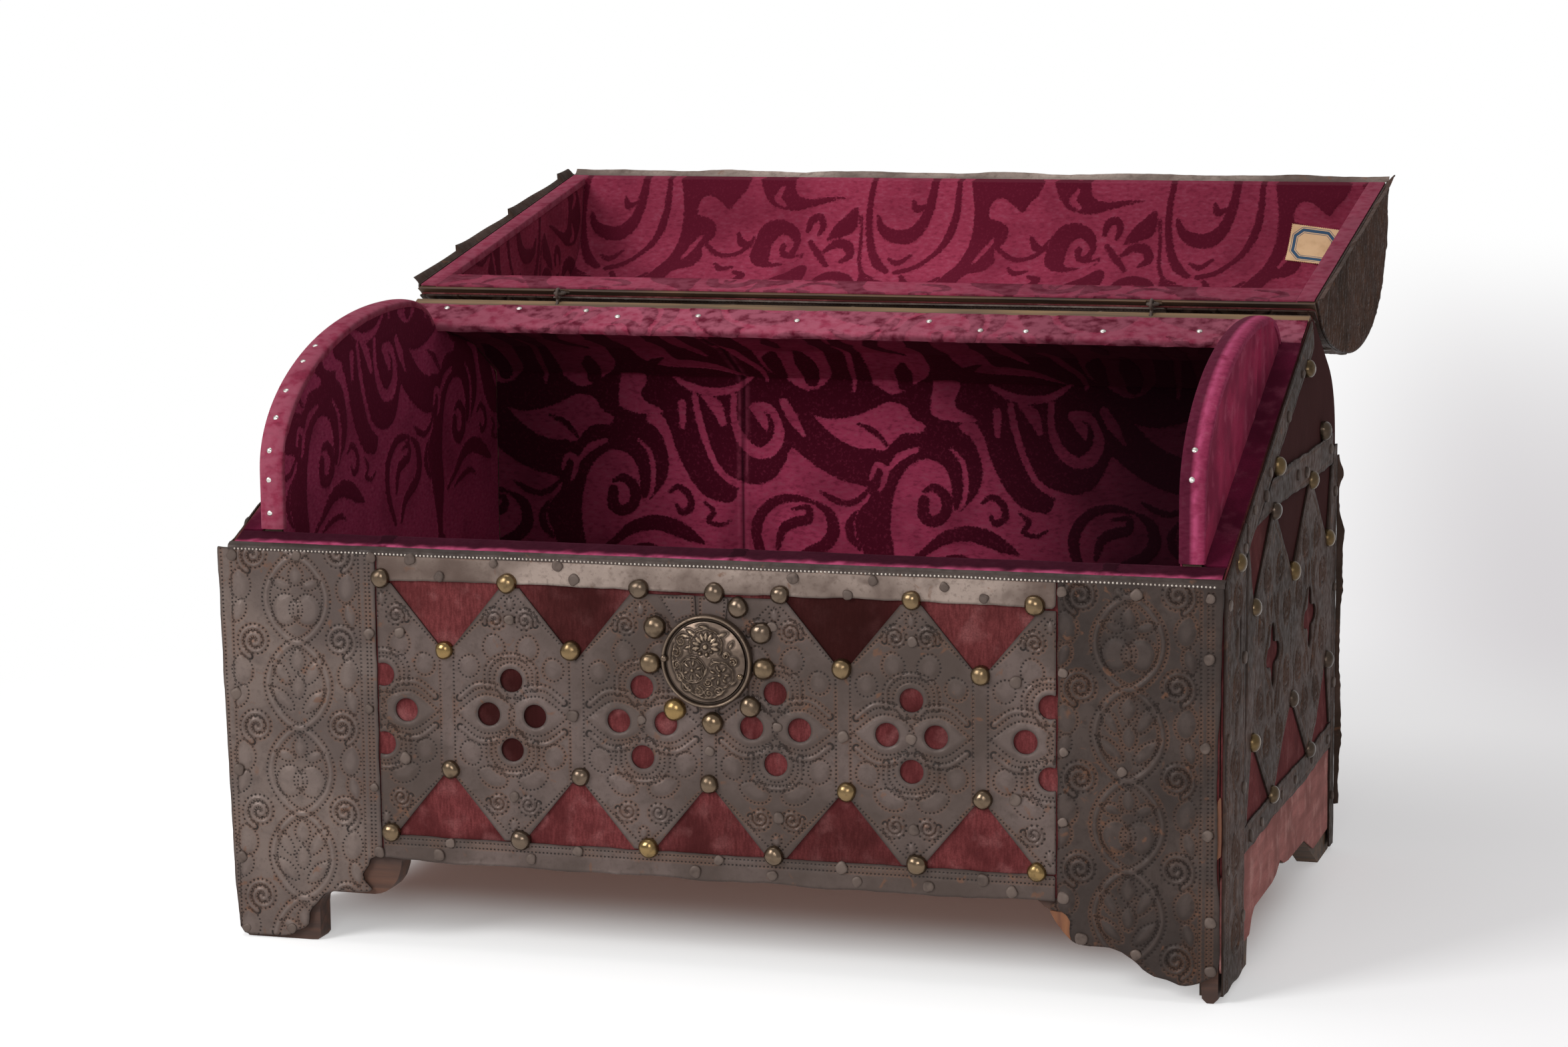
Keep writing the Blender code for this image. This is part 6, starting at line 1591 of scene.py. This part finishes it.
driveNails("flatNails", [nailsOn(onFront, flatSpots, 0.3), nailsOn(onRight, endFlats, 0.7),
    nailsOn(onLeft, endFlats, 0.7), nailsOn(onBack, backFlats)], flats, 0.09, "carcass", plainIron)
points = [coffer["wide"] / 2 + (k - 2) * plate["pitch"] for k in range(5)]
lidDomes = [(x, z) for z in (lidLow + plate["point"], lidHigh - plate["point"]) for x in points]
lidDomes += [(x, z) for x in plateCentres for z in (lidLow, lidHigh)]
lidFlats = [(x, z) for x in (5, 72, 408, 475) for z in np.linspace(12, lidLong - 12, 6)]
lidFlats += [(x, z) for x in range(110, 400, 65) for z in (7, lidLong - 7)]
driveNails("lidDomeNails", [nailsOn(onLid, lidDomes)], domes, 0.03, "lid", domeBrass)
driveNails("lidFlatNails", [nailsOn(onLid, lidFlats)], flats, 0.09, "lid", plainIron)
tackRail = [(23.6, 226.7), (63.8, 227.5), (101.2, 226.8), (120.4, 221.3), (163.6, 223.6), (217.5, 220.9),
    (286.7, 222.9), (315.3, 215), (338.7, 215), (377.7, 216.5), (425.9, 218.5)]
railTacks = np.array([(x, y, seamHeight(y) - 0.95) for x, y in tackRail])
railUp = np.tile([(0.0, -math.sin(seamAngle), math.cos(seamAngle))], (len(railTacks), 1))
at, path, normals = alongLine(overSeam(offsetLine(tongueArch, 1.7), 0.5), 1.0)
marksL, marksR = np.array([8, 24, 38, 55, 72, 96, 112]), np.array([38.0, 52.0])
tongueTacks = np.vstack([columns(x, np.interp(m, at, path[:, 0]), np.interp(m, at, path[:, 1]))
    for x, m in ((17.0, marksL), (462.0, marksR))])
marks = np.concatenate([marksL, marksR])
tongueUp = columns(0.0, np.interp(marks, at, normals[:, 0]), np.interp(marks, at, normals[:, 1]))
tackProfile = [(1.0, -0.4), (1.0, 0.1), (0.9, 0.35), (0.6, 0.55), (0.0, 0.62)]
tackSpots = np.vstack([railTacks, tongueTacks])
lathedStuds("tacks", tackSpots, np.vstack([railUp, tongueUp]), np.full(len(tackSpots), 1.55),
    chance.uniform(0, 1, len(tackSpots)), tackProfile, 14, 0.04, "carcass", tackSteel, finish="iron")
print("nails ready")

boss = dict(x=240.0, z=145.8, radius=22.0, field=18.9, rim=3.0, dome=6.2)


def rosette(x, z, size, petals, spread, turn):
    # petals as leaves round a berry
    angles = math.radians(turn) + np.linspace(0, math.radians(spread), petals)
    return [("leaf", leafLoop(x + 0.66 * size * math.cos(a), z + 0.66 * size * math.sin(a), 0.74 * size,
        0.4 * size, math.degrees(a) + 180, 0.5), 0.9, 0.85)
        for a in angles] + [("leaf", ringLoop(x, z, 0.24 * size), 1.0, 1.2)]


bossStrokes = rosette(0.8, 7.6, 6.8, 9, 200, -10) + rosette(-5.6, -3.6, 5.2, 6, 300, 20) + rosette(7.4, -5.4,
    5.0, 7, 308, 0)
frames = [(0.8, 7.8, 7.4, 5.0, -25, 205), (-5.6, -3.6, 6.0, 0.0, 0, 360), (-5.6, -3.6, 4.9, 4.0, 0, 360),
    (7.4, -5.4, 5.9, 4.0, -130, 130)]
for x, z, r, lobes, first, last in frames:
    t = np.radians(np.linspace(first, last, 60))
    r = r + 0.4 * np.abs(np.sin(lobes * t))
    bossStrokes.append(("ridge", columns(x + r * np.cos(t), z + r * np.sin(t)), 0.55, 0.7))
berries = ((-1.6, 4.6, 1.2), (1.6, 4.2, 1.3), (3.9, 5.4, 1.0), (-3.6, 6.0, 1.0), (7.6, -3.2, 1.0),
    (10.0, -6.4, 1.0))
bossStrokes += [("leaf", ringLoop(x, z, r), 1.0, 1.3) for x, z, r in berries]
curls = [(-11.4, 9.6, 2.7, 40, 1), (-13.8, 4.4, 2.6, 80, -1), (-13.4, -1.6, 2.2, 100, 1),
    (-12.2, -7.2, 2.4, 120, -1), (-8.4, -11.6, 2.6, 150, 1), (-3.2, -13.4, 2.7, 100, -1),
    (1.8, -14.4, 2.4, 80, 1), (6.2, -13.2, 2.3, 60, -1), (2.0, -9.0, 2.2, 200, 1), (13.6, 0.6, 2.0, 120, -1),
    (10.4, 3.8, 1.6, 10, 1)]
bossStrokes += [("ridge", spiralLine(x, z, r, 1.5, turn, hand, 0.5), 0.6, 0.8)
    for x, z, r, turn, hand in curls]
bossStrokes += [("ridge", curveThrough(line), 0.7, 0.7)
    for line in ([(-15.0, 7.0), (-15.8, 1.6), (-14.6, -4.6), (-11.0, -9.6), (-5.0, -15.4), (3.0, -16.6),
    (9.4, -12.6)], [(-3.4, 2.8), (-5.0, 2.6), (-5.6, 3.0)], [(4.6, 1.2), (6.4, 0.9), (7.2, 0.6)])]
bossStrokes += [("leaf", leafLoop(*leaf), 1.1, 0.8) for leaf in ((-6.8, 13.6, 7, 2.8, 150),
    (-9.6, 12.2, 6, 2.6, 165), (8.4, 13.2, 6, 2.6, 20), (-1.0, 16.4, 6, 2.4, 175), (12.6, 8.4, 4, 2.2, 60),
    (-8.0, 7.0, 5, 2.4, 200), (0.8, -4.4, 6, 2.4, 250), (13.2, -9.4, 5, 2.2, 220))]
radii = np.concatenate([np.linspace(0.0, boss["field"], 84),
    np.linspace(boss["field"] + 0.2, boss["radius"], 18)])
turns = np.linspace(0, 2 * math.pi, 220, endpoint=False)
gridR, gridT = np.meshgrid(radii[1:], turns, indexing="ij")
flat = columns(gridR.ravel() * np.cos(gridT.ravel()), gridR.ravel() * np.sin(gridT.ravel()))
relief, bossMarks = embossed(bossStrokes, 0.0, deep=1.0)(np.vstack([[(0, 0)], flat]))
far = np.concatenate([[0.0], gridR.ravel()])
# a dome with its ornament, a groove, and a rolled rim
domeHigh = np.where(far < boss["field"], 2.4 + (boss["dome"] - 2.4) * (1 - (far / boss["field"]) ** 2), 0.0)
domeHigh = domeHigh + relief * smooth(boss["field"], boss["field"] - 1.5, far)
rolled = boss["rim"] * np.sqrt(np.clip(1 - ((far - 20.85) / 1.15) ** 2, 0, 1)) + 0.4
domeHigh = np.where(far <= boss["field"], domeHigh, np.maximum(rolled, np.where(far < 20.0, 1.4, 0.3)))
points = np.vstack([[(0, 0)], flat])
points = columns(boss["x"] + points[:, 0], -0.2 - domeHigh, boss["z"] + points[:, 1])
ring = np.arange(1, len(points)).reshape(gridR.shape)
nextRing = np.roll(ring, -1, 1)
quads = np.stack([ring[:-1], ring[1:], nextRing[1:], nextRing[:-1]], 2).reshape(-1, 4)
cap = columns(np.zeros(len(turns), int), ring[0], nextRing[0])
foot = points[ring[-1]] * (1, 0, 1) + (0, 0.3, 0)
feet = len(points) + np.arange(len(turns))
skirt = columns(ring[-1], feet, np.roll(feet, -1), nextRing[-1])
points = np.vstack([points, foot])
# paler on the raised ornament and the rim's top: rubbed gilt and a painted highlight
toneAndHighlight = np.concatenate([np.maximum(smooth(0.2, 0.9, relief), 0.35 * smooth(2.6, 3.2, rolled)),
    np.zeros(len(turns))])
# painted shade along the low edges of the ornament and in the groove round the dome
recessShade = np.concatenate([0.75 * np.exp(-(bossMarks["dotGap"] / 0.5) ** 2) * (relief < 0.4)
    + 0.8 * (np.abs(far - 19.4) < 0.5), np.zeros(len(turns))])
makePiece("bossMedallion", points, [quads, cap, skirt, feet[None, ::-1]], "carcass", bossBronze,
    {"toneAndHighlight": toneAndHighlight, "recessShade": recessShade}, 60, replaced=("boss_dish", "boss_medallion"), finish="bronze")
lathedStuds("bossPins", [(boss["x"] - 20.2, -3.2, boss["z"] + 0.9),
    (boss["x"] + 16.4, -2.9, boss["z"] - 6.2)], np.tile([(0.0, -1.0, 0.0)], (2, 1)), [1.7, 1.6], [1.0, 0.9],
    domeProfile, 14, 0.04, "carcass", domeBrass, finish="bronze")
# two old patches under the boss's upper edge
for name, outline in (("bossPatchLeft", [(215.5, 176.0), (234.4, 176.2), (234.9, 166.0), (229.0, 165.0),
        (224.6, 162.5)]), ("bossPatchRight", [(235.5, 176.1), (250.3, 175.8), (249.2, 163.0), (243.0, 166.0),
        (235.5, 166.2)])):
    outline = np.array(outline)
    inner = outline.mean(0) + (outline - outline.mean(0)) * 0.8
    cutSheet(name, ragged(outline, 0.4, 97), [], under(onFront, -0.7), 0.5, 0.5,
        embossed([dotRow(np.vstack([inner, inner[:1]]))], 0.15, 98), "carcass", frontIron, finish="iron")
print("boss ready")


# camera, light and floor

view = dict(focal=5759.0, frame=(2349, 1568), place=(0.543, -1.890564, 0.471), yaw=-17.04, pitch=8.57,
    roll=-0.54)
yaw, pitch, roll = (math.radians(view[k]) for k in ("yaw", "pitch", "roll"))
ahead = Vector((math.sin(yaw) * math.cos(pitch), math.cos(yaw) * math.cos(pitch), -math.sin(pitch)))
right = Vector((math.cos(yaw), -math.sin(yaw), 0))
upward = right.cross(ahead)
across = math.cos(roll) * right + math.sin(roll) * upward
upright = math.cos(roll) * upward - math.sin(roll) * right
eye = bpy.data.cameras.new("eye")
eye.sensor_width = 36.0
eye.lens = view["focal"] * eye.sensor_width / view["frame"][0]
eyeObject = bpy.data.objects.new("eye", eye)
eyeObject.matrix_world = Matrix((across, upright, -ahead)).transposed().to_4x4()
eyeObject.matrix_world.translation = view["place"]
bpy.context.scene.collection.objects.link(eyeObject)
bpy.context.scene.camera = eyeObject

lamps = dict(key=dict(place=(-1.6, -2.2, 1.6), size=1.2, power=46.0),
    fill=dict(place=(0.5, -2.5, 0.9), size=0.8, power=12.0),
    top=dict(place=(-0.5, 0.1, 2.4), size=1.6, power=12.0))
for name, lamp in lamps.items():
    light = bpy.data.lights.new(name + "Softbox", "AREA")
    light.shape, light.size, light.energy = "SQUARE", lamp["size"], lamp["power"]
    box = bpy.data.objects.new(name + "Softbox", light)
    toward = Vector((0, -0.05, 0.15)) - Vector(lamp["place"])
    box.matrix_world = toward.to_track_quat("-Z", "Y").to_matrix().to_4x4()
    box.matrix_world.translation = lamp["place"]
    bpy.context.scene.collection.objects.link(box)

world = bpy.data.worlds.new("studio")
bpy.context.scene.world = world
world.use_nodes = True
sky = world.node_tree
path = addNode(sky, "LightPath")
seen = worked(sky, "MAXIMUM", path.outputs["Is Camera Ray"], path.outputs["Is Transmission Ray"])
dim = worked(sky, "ADD", worked(sky, "MULTIPLY", path.outputs["Is Glossy Ray"], 0.2), 0.32)
sky.links.new(worked(sky, "ADD", worked(sky, "MULTIPLY", seen, 0.68), dim),
    sky.nodes["Background"].inputs["Strength"])
sky.nodes["Background"].inputs["Color"].default_value = (1, 1, 1, 1)

# white paper sweep: its own shade near the coffer, plain white further off, a little grey on the right as
# painted shade
floorMesh = bpy.data.meshes.new("studioFloor")
floorMesh.from_pydata([(-6, -4, 0), (6, -4, 0), (6, 6, 0), (-6, 6, 0)], [], [(0, 1, 2, 3)])
floorFinish, floorTree, floorShader = newFinish("white_paper", Roughness=0.9, Specular_IOR_Level=0.1)
floorShader.inputs["Base Color"].default_value = linear("#f4f4f4")
ground = addNode(floorTree, "TexCoord").outputs["Object"]
away = addNode(floorTree, "VectorMath", {0: ground, 1: (0.05, 0.0, 0.0)},
    operation="DISTANCE").outputs["Value"]
parts = addNode(floorTree, "SeparateXYZ", {0: ground})
rightward = worked(floorTree, "ADD", parts.outputs[0], worked(floorTree, "MULTIPLY", parts.outputs[1], 0.14))
rightward = worked(floorTree, "MULTIPLY", ranged(floorTree, rightward, 0.1, 0.4),
    ranged(floorTree, parts.outputs[1], 0.7, 4.5, 1.0, 0.0))
shade = blended(floorTree, rightward, "#ffffff", "#d6d3d5")
path = addNode(floorTree, "LightPath")
seen = worked(floorTree, "MAXIMUM", path.outputs["Is Camera Ray"], path.outputs["Is Glossy Ray"])
# painted shadow under the coffer: the glow turns brown there, standing for light bounced off the boards
underWide = ranged(floorTree, worked(floorTree, "ABSOLUTE", parts.outputs[0]), 0.2, 0.26, 1.0, 0.0)
underDeep = ranged(floorTree, worked(floorTree, "ABSOLUTE",
    worked(floorTree, "ADD", parts.outputs[1], 0.083)), 0.03, 0.15, 1.0, 0.0)
lit = blended(floorTree, worked(floorTree, "MULTIPLY", underWide, underDeep), shade, "#7a5a50")
glow = addNode(floorTree, "Emission", {"Color": lit, "Strength": worked(floorTree, "MULTIPLY", seen, 0.42)})
both = addNode(floorTree, "AddShader", {0: floorShader.outputs[0], 1: glow.outputs[0]})
plain = addNode(floorTree, "Emission", {"Color": shade, "Strength": 1.0})
edge = worked(floorTree, "MULTIPLY", ranged(floorTree, away, 0.42, 0.8), seen)
mixed = addNode(floorTree, "MixShader", {0: edge, 1: both.outputs[0], 2: plain.outputs[0]})
floorTree.links.new(mixed.outputs[0], floorTree.nodes["Material Output"].inputs["Surface"])
floorMesh.materials.append(floorFinish)
studioFloor = bpy.data.objects.new("studioFloor", floorMesh)
bpy.context.scene.collection.objects.link(studioFloor)
studioFloor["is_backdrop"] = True
bpy.context.scene.view_settings.view_transform = "Standard"
print("studio ready")

# boards and hinges that stay as the CAD has them
for nodeName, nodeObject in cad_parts.items():
    finish = darkWood
    if "hinge_eye" in nodeName:
        finish = plainIron
    elif nodeName in ("hinge_rail", "lid_hinge_batten", "rear_slope_board"):
        finish = seamWood
    nodeObject.data.materials.clear()
    nodeObject.data.materials.append(finish)

low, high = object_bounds()
{"cad": [list(cadLow), list(cadHigh)], "visual": [list(low), list(high)]}
